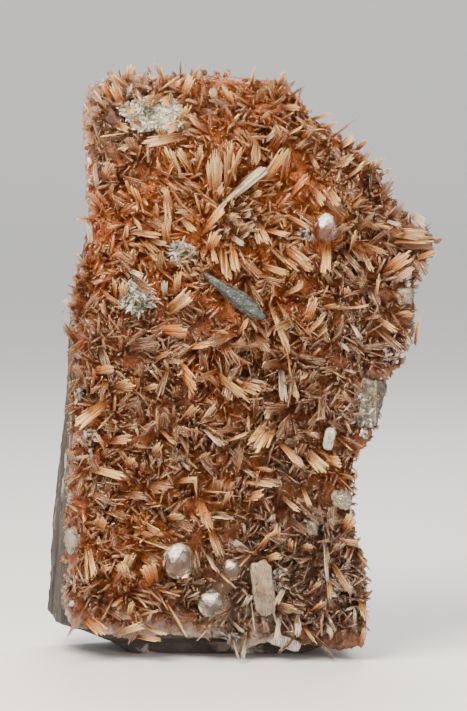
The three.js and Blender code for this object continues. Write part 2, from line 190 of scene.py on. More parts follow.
class Paint:
    """A material, with one method that makes any node of it."""

    def __init__(self, name):
        self.material = bpy.data.materials.new(name)
        self.material.use_nodes = True
        self.tree = self.material.node_tree
        self.tree.nodes.clear()
        self.end = self.tree.nodes.new("ShaderNodeOutputMaterial")

    def feed(self, socket, value):
        if isinstance(value, Value):
            self.tree.links.new(value.socket, socket)
        elif isinstance(value, tuple) and len(value) == 3 and socket.type == "RGBA":
            socket.default_value = (*value, 1)
        else:
            socket.default_value = value

    def node(self, kind, settings=None, sockets=None, out=0):
        made = self.tree.nodes.new(kind)
        for name, value in (settings or {}).items():
            if name == "stops":
                set_stops(made.color_ramp, value)
            else:
                setattr(made, name, value)
        for name, value in (sockets or {}).items():
            self.feed(made.inputs[name], value)
        return Value(self, made.outputs[out])

    def maths(self, operation, *inputs):
        return self.node("ShaderNodeMath", {"operation": operation}, dict(enumerate(inputs)))

    def mix(self, share, low, high):
        return self.node("ShaderNodeMix", {"data_type": "RGBA"}, {0: share, 6: low, 7: high}, out=2)

    def ramp(self, value, stops):
        return self.node("ShaderNodeValToRGB", {"stops": stops}, {0: value})

    def spread(self, value, low, high, to_low=0.0, to_high=1.0):
        """The value moved smoothly from one range to another, and held at its ends."""
        sockets = {0: value, 1: low, 2: high, 3: to_low, 4: to_high}
        return self.node("ShaderNodeMapRange", {"interpolation_type": "SMOOTHSTEP"}, sockets)

    def attribute(self, name):
        return self.node("ShaderNodeAttribute", {"attribute_name": name}, out="Fac")

    def place(self, scale=(1, 1, 1)):
        """Object coordinates, stretched, in millimetres."""
        where = self.node("ShaderNodeTexCoord", out="Object")
        size = tuple(s / MM for s in scale)
        return self.node("ShaderNodeMapping", {}, {"Vector": where, "Scale": size})

    def axis(self, number):
        """One of the three Object coordinates, in millimetres: 0 for X, 1 for Y, 2 for Z."""
        return self.node("ShaderNodeSeparateXYZ", {}, {"Vector": self.place()}, out=number)

    def noise(self, where, scale, detail=3.0, roughness=0.55):
        sockets = {"Vector": where, "Scale": scale, "Detail": detail, "Roughness": roughness}
        return self.node("ShaderNodeTexNoise", {}, sockets)

    def bump(self, height, strength, distance):
        sockets = {"Strength": strength, "Distance": distance, "Height": height}
        return self.node("ShaderNodeBump", {}, sockets)

    def shader(self, sockets):
        return self.node("ShaderNodeBsdfPrincipled", {}, sockets)

    def finish(self, shader):
        """Ends the material with a shader."""
        self.tree.links.new(shader.socket, self.end.inputs["Surface"])
        return self.material

    def surface(self, sockets):
        """Ends the material with one shader that has these sockets."""
        return self.finish(self.shader(sockets))


print("a finish has:", ", ".join(name for name in vars(Paint) if not name.startswith("_")))

# %% [markdown]
# An inesite blade is a sheaf of thin flat laths that grew side by side and part a little towards the
# tip, where each one breaks off in its own slanted chisel. It could be one block with grooves, but
# the tips would stay joined. A lath needs only two rings of corners, as it is straight. All sizes
# here are shares of the blade's length and width, because a form is stretched when it is planted.

# %% Corners of one lath
SLANT = 0.16  # how much a tip slants at most
CHIP = 0.03  # how far a corner of the tip is chipped at most
LATH_TURN = 0.35  # how far a lath is turned at most, in radians
NARROWING = (0.25, 0.6)  # how wide a lath's tip is, as a share of its foot


def lath(pick, sides, size, foot, lean, ends, blunt):
    """Two rings of corners of one flat lath: X, Y, Z and the place across the lath."""
    wide, thick = size
    slant = pick.uniform(-SLANT, SLANT)
    turn = pick.uniform(-LATH_TURN, LATH_TURN)
    narrow = blunt + pick.uniform(*NARROWING)
    corners = []
    for top in (0, 1):
        for k in range(sides):
            angle = math.tau * (k + 0.5) / sides
            across = 0.5 * wide * math.cos(angle) * (narrow if top else 1)
            through = 0.5 * thick * math.sin(angle) * (narrow if top else 1)
            chip = slant * across / wide + pick.uniform(-CHIP, CHIP) if top else 0
            corners.append((
                foot[0] + lean[0] * top + across * math.cos(turn) - through * math.sin(turn),
                foot[1] + lean[1] * top + across * math.sin(turn) + through * math.cos(turn),
                ends[top] + chip,
                math.cos(angle),
            ))
    return corners


def lath_faces(sides, first):
    """The closed faces of a lath whose first corner has this number."""
    low = [first + k for k in range(sides)]
    high = [first + sides + k for k in range(sides)]
    walls = [(low[k], low[(k + 1) % sides], high[(k + 1) % sides], high[k]) for k in range(sides)]
    return [tuple(reversed(low)), *walls, tuple(high)]


print("faces of a lath with five sides:", len(lath_faces(5, 0)))

# %% [markdown]
# A sheaf is a row of such laths. Each corner keeps its share of the length, its place across the
# lath, and a number of its lath, so the finish can run fine lines along every lath and tell one from
# the next. A few forms of each kind are enough, because every planted one is turned another way.


# %% Forms of one sheaf
FOOT_STRAY = 0.07  # how far a lath's foot lies off the row
SIDE_STRAY = 0.04  # how far it leans along the row by chance
TIP_STRAY = 0.09  # and how far out of it
LATH_WIDTHS = (1.5, 2.4)  # in even parts of the sheaf's width, so that the laths overlap
LATH_THICKNESS = (0.5, 0.95)  # as a share of its width
LATE_START = 0.1  # how far up a lath starts at most
MIDDLE_LONGER = 0.1
SHORTER = 0.24  # how much shorter a lath is by chance


def store(mesh, name, values):
    mesh.attributes.new(name, "FLOAT", "POINT").data.foreach_set("value", values)


def sheaf_corners(pick, laths, sides, spread, blunt):
    """The corners of each lath in turn. A lone lath stands straight and has the full size."""
    lone = laths == 1
    for k in range(laths):
        side = (k + 0.5) / laths - 0.5
        foot = (side * (1 - spread), 0 if lone else pick.uniform(-FOOT_STRAY, FOOT_STRAY))
        lean_out = side * spread + pick.uniform(-SIDE_STRAY, SIDE_STRAY)
        lean = (lean_out, 0 if lone else pick.uniform(-TIP_STRAY, TIP_STRAY))
        wide = 1 if lone else pick.uniform(*LATH_WIDTHS) / laths
        end = 1 if lone else 1 - MIDDLE_LONGER * abs(side) - pick.uniform(0, SHORTER)
        size = (wide, wide * pick.uniform(*LATH_THICKNESS))
        yield lath(pick, sides, size, foot, lean, (pick.uniform(0, LATE_START), end), blunt)


def sheaf_form(name, seed, laths, sides, spread, blunt):
    """Laths side by side, one unit long and about one unit wide at the tips."""
    pick = random.Random(seed)
    corners, faces, marks = [], [], []
    for ring in sheaf_corners(pick, laths, sides, spread, blunt):
        faces += lath_faces(sides, len(corners))
        corners += ring
        marks += [pick.random()] * len(ring)
    mesh = bpy.data.meshes.new(name)
    mesh.from_pydata([corner[:3] for corner in corners], [], faces)
    for face in mesh.polygons:
        face.use_smooth = len(face.vertices) == 4 or sides == 4
    store(mesh, "along", [corner[2] for corner in corners])
    store(mesh, "across", [corner[3] for corner in corners])
    store(mesh, "mark", marks)
    return bpy.data.objects.new(name, mesh)


def triangle_count(mesh):
    return sum(len(face.vertices) - 2 for face in mesh.polygons)


def form_set(name, count, laths, sides, spread, seed, blunt=0.0):
    """A collection of forms to pick from."""
    forms = bpy.data.collections.new(name)
    for k in range(count):
        forms.objects.link(sheaf_form(f"{name} {k}", seed + k, laths, sides, spread, blunt))
    print(name, "forms:", count, "with", triangle_count(forms.objects[0].data), "triangles each")
    return forms


BROAD_SHEAVES = form_set("broad sheaf", 8, laths=9, sides=5, spread=0.38, seed=11, blunt=0.12)
SLIM_SHEAVES = form_set("slim sheaf", 8, laths=7, sides=4, spread=0.45, seed=51)
SMALL_SHEAVES = form_set("small sheaf", 8, laths=5, sides=4, spread=0.5, seed=91)
LATHS = form_set("lath", 6, laths=1, sides=6, spread=0, seed=71)
NEEDLES = form_set("needle", 6, laths=1, sides=4, spread=0, seed=81)

# %% [markdown]
# Geometry Nodes plant one form on every point of a cloud. The cloud says where each blade starts,
# which way it points and how long it is. The tree adds what chance decides: which form is used, how
# the blade is turned about its own length, and a tone that shifts its colour a little.


# %% The tree that grows blades
TREE_INPUTS = {
    "Roots": "NodeSocketGeometry", "Forms": "NodeSocketCollection", "Least girth": "NodeSocketFloat",
    "Most girth": "NodeSocketFloat", "Seed": "NodeSocketInt", "Finish": "NodeSocketMaterial",
}
FLATNESS = (0.5, 0.85)  # a blade's thickness, as a share of its width


class GrowTree:
    """The tree, with one method that makes any node of it and gives back one output."""

    def __init__(self):
        self.tree = bpy.data.node_groups.new("grow blades", "GeometryNodeTree")
        for name, kind in TREE_INPUTS.items():
            self.tree.interface.new_socket(name, in_out="INPUT", socket_type=kind)
        self.tree.interface.new_socket("Blades", in_out="OUTPUT", socket_type="NodeSocketGeometry")
        self.given = self.tree.nodes.new("NodeGroupInput").outputs

    def add(self, kind, settings, sockets, out=0):
        made = self.tree.nodes.new(kind)
        for name, value in settings.items():
            setattr(made, name, value)
        for name, value in sockets.items():
            if isinstance(value, bpy.types.NodeSocket):
                self.tree.links.new(value, made.inputs[name])
            else:
                made.inputs[name].default_value = value
        return made.outputs[out]

    def maths(self, operation, first, second):
        return self.add("ShaderNodeMath", {"operation": operation}, {0: first, 1: second})

    def named(self, name, kind="FLOAT"):
        return self.add("GeometryNodeInputNamedAttribute", {"data_type": kind}, {"Name": name})

    def chance(self, low, high, salt):
        """A random number for each root. Each use has its own salt."""
        seed = self.maths("ADD", self.given["Seed"], float(salt))
        sockets = {2: low, 3: high, "Seed": seed}
        return self.add("FunctionNodeRandomValue", {"data_type": "FLOAT"}, sockets, out=1)

    def turned(self):
        """Along the root's heading, and turned about it by chance."""
        heading = self.named("heading", "FLOAT_VECTOR")
        aim = self.add("FunctionNodeAlignRotationToVector", {"axis": "Z"}, {"Vector": heading})
        angle = self.chance(0.0, math.tau, 1)
        turn = self.add("FunctionNodeAxisAngleToRotation", {}, {"Axis": (0, 0, 1), "Angle": angle})
        sockets = {"Rotation": aim, "Rotate By": turn}
        return self.add("FunctionNodeRotateRotation", {"rotation_space": "LOCAL"}, sockets)

    def sized(self):
        """The root's own length and girth, the girth with a little chance."""
        chosen = self.chance(self.given["Least girth"], self.given["Most girth"], 2)
        girth = self.maths("MULTIPLY", chosen, self.named("girth"))
        depth = self.maths("MULTIPLY", girth, self.chance(*FLATNESS, 3))
        return self.add("ShaderNodeCombineXYZ", {}, {"X": girth, "Y": depth, "Z": self.named("length")})

    def planted(self):
        picked = self.add("GeometryNodeCollectionInfo", {"transform_space": "ORIGINAL"}, {
            "Collection": self.given["Forms"], "Separate Children": True, "Reset Children": True,
        })
        return self.add("GeometryNodeInstanceOnPoints", {}, {
            "Points": self.given["Roots"], "Instance": picked, "Pick Instance": True,
            "Rotation": self.turned(), "Scale": self.sized(),
        })

    def finished(self):
        """Adds the tone, makes the instances real and ends the tree."""
        settings = {"data_type": "FLOAT", "domain": "INSTANCE"}
        toned = self.add("GeometryNodeStoreNamedAttribute", settings, {
            "Geometry": self.planted(), "Name": "tone", "Value": self.chance(0.0, 1.0, 4),
        })
        real = self.add("GeometryNodeRealizeInstances", {}, {"Geometry": toned})
        sockets = {"Geometry": real, "Material": self.given["Finish"]}
        blades = self.add("GeometryNodeSetMaterial", {}, sockets)
        self.tree.links.new(blades, self.tree.nodes.new("NodeGroupOutput").inputs[0])
        return self.tree


GROW = GrowTree().finished()
print("nodes in the tree:", len(GROW.nodes))

# %% [markdown]
# A root is one row: where the blade starts, where it ends, its width, and two shares for its colour.
# The rows become a cloud of loose points, the tree grows on it, and the result is kept as a plain
# mesh, because instances don't outlive this file.


# %% Growing a cloud of roots
def cloud_mesh(name, roots):
    """Loose points that carry each blade's heading, length, girth and colour shares."""
    starts = np.array([row["root"] for row in roots]) * MM
    ways = np.array([row["tip"] for row in roots]) * MM - starts
    lengths = np.linalg.norm(ways, axis=1)
    mesh = bpy.data.meshes.new(name)
    mesh.from_pydata(starts.tolist(), [], [])
    heading = mesh.attributes.new("heading", "FLOAT_VECTOR", "POINT")
    heading.data.foreach_set("vector", (ways / lengths[:, None]).ravel())
    store(mesh, "length", lengths)
    store(mesh, "girth", np.array([row["width"] for row in roots]) * MM)
    for share in ("warmth", "pallor"):
        store(mesh, share, [row[share] for row in roots])
    return mesh


def set_inputs(modifier, values):
    """Fills the tree's named inputs on a modifier, each by its socket's identifier."""
    for socket in modifier.node_group.interface.items_tree:
        if socket.name in values:
            modifier[socket.identifier] = values[socket.name]


def placed(name, mesh):
    """An object in the scene that shows this mesh, at the origin."""
    piece = bpy.data.objects.new(name, mesh)
    bpy.context.scene.collection.objects.link(piece)
    return piece


def evaluated_mesh(piece):
    """The piece's shape with its modifiers applied, as a plain mesh."""
    ready = piece.evaluated_get(bpy.context.evaluated_depsgraph_get())
    return bpy.data.meshes.new_from_object(ready)


def grow(name, roots, forms, girths, seed, finish):
    """A piece of blades, one on each root."""
    plan = placed(name + " plan", cloud_mesh(name + " plan", roots))
    modifier = plan.modifiers.new("grow", "NODES")
    modifier.node_group = GROW
    set_inputs(modifier, {
        "Forms": forms, "Least girth": girths[0], "Most girth": girths[1], "Seed": seed, "Finish": finish,
    })
    mesh = evaluated_mesh(plan)
    bpy.data.objects.remove(plan)
    mesh.name = name
    print(f"{name}: {len(roots)} blades, {triangle_count(mesh)} triangles")
    return placed(name, mesh)


# %% [markdown]
# The other minerals keep clear ground round them, so no blade runs through one. Each is a place on
# the crust: X, Z, how far its middle stands off the bed, and its half sizes, as in the solids.

# %% Places of the other minerals
CLEARING_RISE = 0.4  # how far the middle of a clearing lies above its mineral's
APOPHYLLITES = {
    "apophyllite_top": (18.4, 69.6, 2.2, (2.6, 2.5, 2.8)),
    "apophyllite_lower_left": (-5.4, 16.4, 2.2, (2.7, 2.5, 3.1)),
    "apophyllite_lower_right": (0.3, 9.6, 2.6, (2.8, 2.6, 2.5)),
    "apophyllite_small": (3.2, 15, 2.4, (1.6, 1.6, 1.9)),
}
QUARTZES = {
    "quartz_left": (-22.4, 19.4, 0.6, (1.6, 1.5, 2.5)),
    "quartz_right_low": (20.8, 26.2, 1.4, (2.1, 1.6, 1.8)),
    "quartz_right_high": (30.9, 58.8, 0.8, (1.8, 1.6, 1.9)),
    "quartz_right_foot": (16.2, 21.8, 1.6, (1.3, 1.4, 1.7)),
}
DRUSES = {
    "druse_top": (-8.8, 87.6, 0.2, (4.8, 1.8, 2.6)),
    "druse_left": (-12, 58.8, 0.4, (2.7, 1.8, 2.6)),
    "druse_middle": (-4.9, 65.6, 0.6, (1.9, 1.6, 2)),
}
CLEARINGS = [*APOPHYLLITES.values(), *QUARTZES.values(), *DRUSES.values()]


def in_clearing(x, z, margin=0.5):
    """Whether a place lies in the ground that one of them keeps clear."""
    for cx, cz, _, (rx, _, rz) in CLEARINGS:
        if math.hypot((x - cx) / (rx + margin), (z - cz - CLEARING_RISE) / (rz + margin)) < 1:
            return True
    return False


print("minerals with a clearing:", len(CLEARINGS))

# %% [markdown]
# The crust isn't one colour. It is a strong orange in the upper middle and at the lower left, and it
# turns to a mauve pink down the right side and to a pale beige at the top left. A few soft round
# zones give each blade its warmth and its pallor, and a little chance keeps neighbours apart.

# %% Zones of colour
WARM_ZONES = [  # X, Z, radius, and how much warmer
    (0, 77, 13, 0.6), (-13, 68, 10, 0.45), (14, 75, 8, 0.35), (-14, 20, 8, 0.5), (-14, 44, 9, 0.3),
    (-3, 47, 4, 0.6), (2, 42, 4, 0.5), (8, 60, 11, 0.35), (0, 28, 6, 0.25), (-8, 58, 8, 0.3),
    (19, 31, 3, 0.5), (20, 12, 13, -0.5), (27, 52, 11, -0.12), (-16, 91, 9, -0.4), (30, 68, 7, -0.1),
    (17, 36, 9, -0.08), (3, 9, 7, -0.45), (4, 71, 3.5, -0.5), (-9, 50, 9, -0.38),
]
PALE_ZONES = [  # X, Z, radius, and how much paler
    (-15, 90, 9, 0.5), (4, 91, 9, 0.15), (24, 79, 8, 0.25), (-18, 83, 7, 0.2), (31, 67, 8, 0.3),
    (26, 42, 9, 0.3), (22, 18, 12, 0.2), (4, 9, 7, 0.6), (4, 71, 3.5, 0.5), (-21, 30, 5, 0.2),
    (-12, 68, 9, -0.3), (12, 78, 6, -0.3), (-13, 75, 6, -0.2), (-2, 46, 13, -0.55),
    (-10, 16, 10, -0.25), (14, 28, 12, -0.15),
]
FIELD_WARMTH = 0.34  # outside all zones
FIELD_PALLOR = 0.35
WARMTH_CHANCE = 0.13  # how much one blade differs from the next
PALLOR_CHANCE = 0.14


def zone_sum(x, z, zones):
    """What all the zones add at a place."""
    return sum(
        gain * math.exp(-((x - cx) ** 2 + (z - cz) ** 2) / radius ** 2) for cx, cz, radius, gain in zones
    )


def held(value):
    """The value, held between 0 and 1."""
    return min(max(value, 0), 1)


def root_row(pick, root, tip, width):
    """One blade of a cloud, with its colour taken from where it grows."""
    x, _, z = root
    warmth = FIELD_WARMTH + zone_sum(x, z, WARM_ZONES) + pick.gauss(0, WARMTH_CHANCE)
    pallor = FIELD_PALLOR + zone_sum(x, z, PALE_ZONES) + pick.gauss(0, PALLOR_CHANCE)
    return {"root": root, "tip": tip, "width": width, "warmth": held(warmth), "pallor": held(pallor)}


print("zones of colour:", len(WARM_ZONES), "warm or cool,", len(PALE_ZONES), "pale or deep")

# %% [markdown]
# Some blades stand out in the real crust, such as the long white-pink one of the star near the top.
# They are listed one by one, as in the solids, so each fine sheaf covers its plain solid blade. The
# blades that stand further off the bed catch more light, so they are paler.

# %% Leading blades
STAR = (2, 74)  # X and Z of the star
STAR_REACH = 8  # how far round it only low blades and the placed ones grow
WHITE_OFF = 6  # the star's white blade stands further off the bed than this
LEADING_GIRTH = 1.15  # a sheaf is a little wider than its solid
LEADING_BLADES = [  # root X and Z, tip X and Z, how far the tip stands off the bed, width
    (-1.4, 70.6, 8.3, 79.2, 6.5, 1.5), (8, 75.7, 12, 82.6, 6, 1.6), (0.2, 73.3, 0.3, 82, 5.5, 1.5),
    (1.9, 74.9, 3.2, 83.2, 4.5, 1.2), (2.2, 75.7, 4.6, 82.7, 5, 1.2), (-5.1, 78.1, -7.4, 82.9, 4, 1.4),
    (-2.7, 77.3, -5.4, 82.1, 4, 1.4), (6.4, 84.5, 7.2, 80, 4, 1.6), (11.2, 66.7, 16.2, 63.4, 5.5, 1.5),
    (10.7, 65.4, 13.4, 63.4, 4.5, 1.2), (6.7, 70.2, 9, 67.2, 4.5, 1.3), (1.4, 66.6, 2.7, 61.4, 5, 1.4),
    (3, 68.2, 4.2, 62.7, 5, 1.3), (-7.8, 76.8, -6.6, 70.6, 3.5, 1.3), (-5.1, 71.4, -2.9, 69.3, 4, 0.9),
    (9.4, 75.7, 11.2, 77.1, 3.5, 0.7), (9.4, 57.6, 12.3, 50.1, 4, 1), (11.7, 50.1, 13.6, 42.2, 3.5, 0.8),
    (-0.2, 46.1, 6.1, 42.6, 5, 1.6), (4.2, 45.6, 10.1, 44, 3.5, 1.1), (-1.1, 37.4, 2.2, 35.2, 4.5, 1.2),
    (2.2, 35.2, 5.8, 37, 4.5, 1), (10.9, 35.5, 14.4, 31.8, 4, 1.3), (-14.1, 62.9, -10.9, 62.1, 4.5, 1),
    (-7, 56, -3.2, 59.7, 4, 1.7), (17, 56.5, 24.6, 57.3, 4, 1.5), (14.2, 52, 18.1, 55.2, 4, 1.2),
    (-19.2, 31.4, -13.9, 29.9, 4, 1), (-3.4, 31.7, -0.6, 33.8, 4.5, 0.9), (4.6, 31.2, 6.9, 30.4, 5, 0.7),
    (5.6, 29.4, 10.9, 29.3, 5, 1.2), (-1.1, 23.8, 3.4, 24, 5, 1.2), (-0.6, 21.9, 1.1, 17.3, 5.5, 1.5),
    (-0.3, 17.1, 0.6, 15.4, 4.5, 1), (-11.5, 22.1, -8, 21, 4.5, 1.1), (-6.2, 22.9, -3.4, 21.4, 4.5, 1),
    (-13.4, 20.5, -6.7, 18.7, 4.5, 1.3), (-20.3, 17.3, -19.7, 13.6, 4.5, 1.7),
    (-15.4, 11.8, -13, 17.6, 4.5, 1.3), (-15.7, 11.4, -18.2, 17, 3.5, 1),
    (8, 16.6, 5.1, 18.6, 4.5, 1.3), (7.2, 16.5, 12.3, 20.6, 4, 1.2),
    (9, 9, 12.8, 8.5, 4, 1), (-19.3, 6.6, -17.3, 5.1, 4, 1.6), (20, 19, 23.5, 19.2, 4, 1.3),
    (18.1, 20, 18.6, 15.7, 4, 0.9), (20.5, 15.7, 22.1, 11.4, 4, 1), (21.6, 8.8, 24.6, 8.5, 3.5, 1.3),
    (-14.6, 70.6, -15.7, 75.4, 3.5, 1.2), (-9, 61.6, -7.7, 66.6, 4.5, 1.1), (14.7, 71, 18.4, 75.4, 3.5, 1.1),
    (24, 66, 29, 70.4, 3, 1), (21.6, 71.7, 26.4, 69.8, 3.5, 1.2), (27.5, 66.6, 35.8, 67.4, 3, 2),
    (17.6, 82.8, 22.8, 87, 2.5, 1), (17.6, 79, 22.7, 81.2, 3.5, 1.2), (-11.8, 90, -10, 94.8, 3, 1.2),
]
STAR_LEADERS = [blade for blade in LEADING_BLADES if math.dist(blade[:2], STAR) < STAR_REACH]
FIELD_LEADERS = [blade for blade in LEADING_BLADES if blade not in STAR_LEADERS]


def leading_roots(pick, blades):
    """The blades that stand further off the bed are paler, and the furthest is the star's white one."""
    rows = []
    for rx, rz, tx, tz, off, width in blades:
        row = root_row(pick, (rx, BED_FRONT + 1, rz), (tx, BED_FRONT - off, tz), LEADING_GIRTH * width)
        # Paler the further its tip stands off the bed: painted light, for the light such a tip catches.
        row["pallor"] = 1.25 if off > WHITE_OFF else min(0.25 + 0.1 * off, 1)
        rows.append(row)
    return rows


print("leading blades:", len(STAR_LEADERS), "in the star and", len(FIELD_LEADERS), "in the field")

# %% [markdown]
# The solids also have sprays of plain blades all over the crust. These follow the same grid and the
# same small random sequence, so a fine sheaf grows wherever a solid has a plain blade. A tip that
# would pass the crust's outline is drawn in.

# %% Sprays that the solids share
SPRAY_PITCH = 6.4
SPRAY_ROWS = 15
SPRAY_COLUMNS = 12
SPRAY_CORNER = (-24, 3.5)  # X and Z where the grid starts
SPRAY_STRAY = 0.7  # how far a spray may lie off its place in the grid, as a share of the pitch
SPRAY_MOST_SHARE = 0.94  # sprays start no further out than this share of the way to the outline
SPRAY_SALTS = (7919, 104729, 23)  # what a row, a column and the whole grid add to a spray's seed
SPRAY_LENGTHS = (5, 3.4)  # least, and how much chance adds
SPRAY_RISES = (16, 40)  # likewise, in degrees
SPRAY_WIDTHS = (1.5, 0.9)  # likewise
BLADES_IN_SPRAY = 2
BLADE_START = 0.9  # how far out from the middle of its spray a blade starts
BLADE_DEPTH = 0.8  # how deep it starts in the bed
LEAST_REACH = 0.8  # a shorter blade isn't grown
TIP_LIMIT = 1.012  # how far out a tip may come, as a share of the way to the outline


def dice(seed):
    """The small random sequence of the solids, from 0 to 1."""
    state = seed
    while True:
        state = (state * 1664525 + 1013904223) % 2 ** 32
        yield state / 2 ** 32


def tip_reach(x, z, heading, reach, limit=TIP_LIMIT):
    """The reach, cut down until the tip stays inside the outline."""
    while edge_share(x + reach * math.cos(heading), z + reach * math.sin(heading)) > limit:
        reach *= 0.85
    return reach


def spray_blade(pick, x, z, heading, roll):
    """A list of one blade, or of none where there is no room for it."""
    ranges = (SPRAY_LENGTHS, SPRAY_RISES, SPRAY_WIDTHS)
    length, rise, width = (least + more * next(roll) for least, more in ranges)
    rise = math.radians(rise)
    next(roll)  # the solids turn a blade by this one
    reach = tip_reach(x, z, heading, length * math.cos(rise))
    if reach < LEAST_REACH:
        return []
    out, up = math.cos(heading), math.sin(heading)
    root = (x + BLADE_START * out, BED_FRONT + BLADE_DEPTH, z + BLADE_START * up)
    tip = (root[0] + reach * out, root[1] - BLADE_DEPTH - length * math.sin(rise), root[2] + reach * up)
    return [root_row(pick, root, tip, width)]


def spray_roots(pick):
    """The solids' sprays. Their sequence has three more numbers at its start, which go unused here."""
    rows = []
    for row in range(SPRAY_ROWS):
        for column in range(SPRAY_COLUMNS):
            roll = dice(SPRAY_SALTS[0] * row + SPRAY_SALTS[1] * column + SPRAY_SALTS[2])
            for _ in range(3):
                next(roll)
            shift = 0.5 * (row % 2)
            x = SPRAY_CORNER[0] + (column + shift + SPRAY_STRAY * (next(roll) - 0.5)) * SPRAY_PITCH
            z = SPRAY_CORNER[1] + (row + SPRAY_STRAY * (next(roll) - 0.5)) * SPRAY_PITCH
            if edge_share(x, z) > SPRAY_MOST_SHARE or in_clearing(x, z):
                continue
            middle = math.tau * next(roll)
            for k in range(BLADES_IN_SPRAY):
                rows += spray_blade(pick, x, z, middle + 1.5 * (k - 1) * (0.5 + next(roll)), roll)
    return rows


print("places for sprays:", SPRAY_ROWS * SPRAY_COLUMNS)
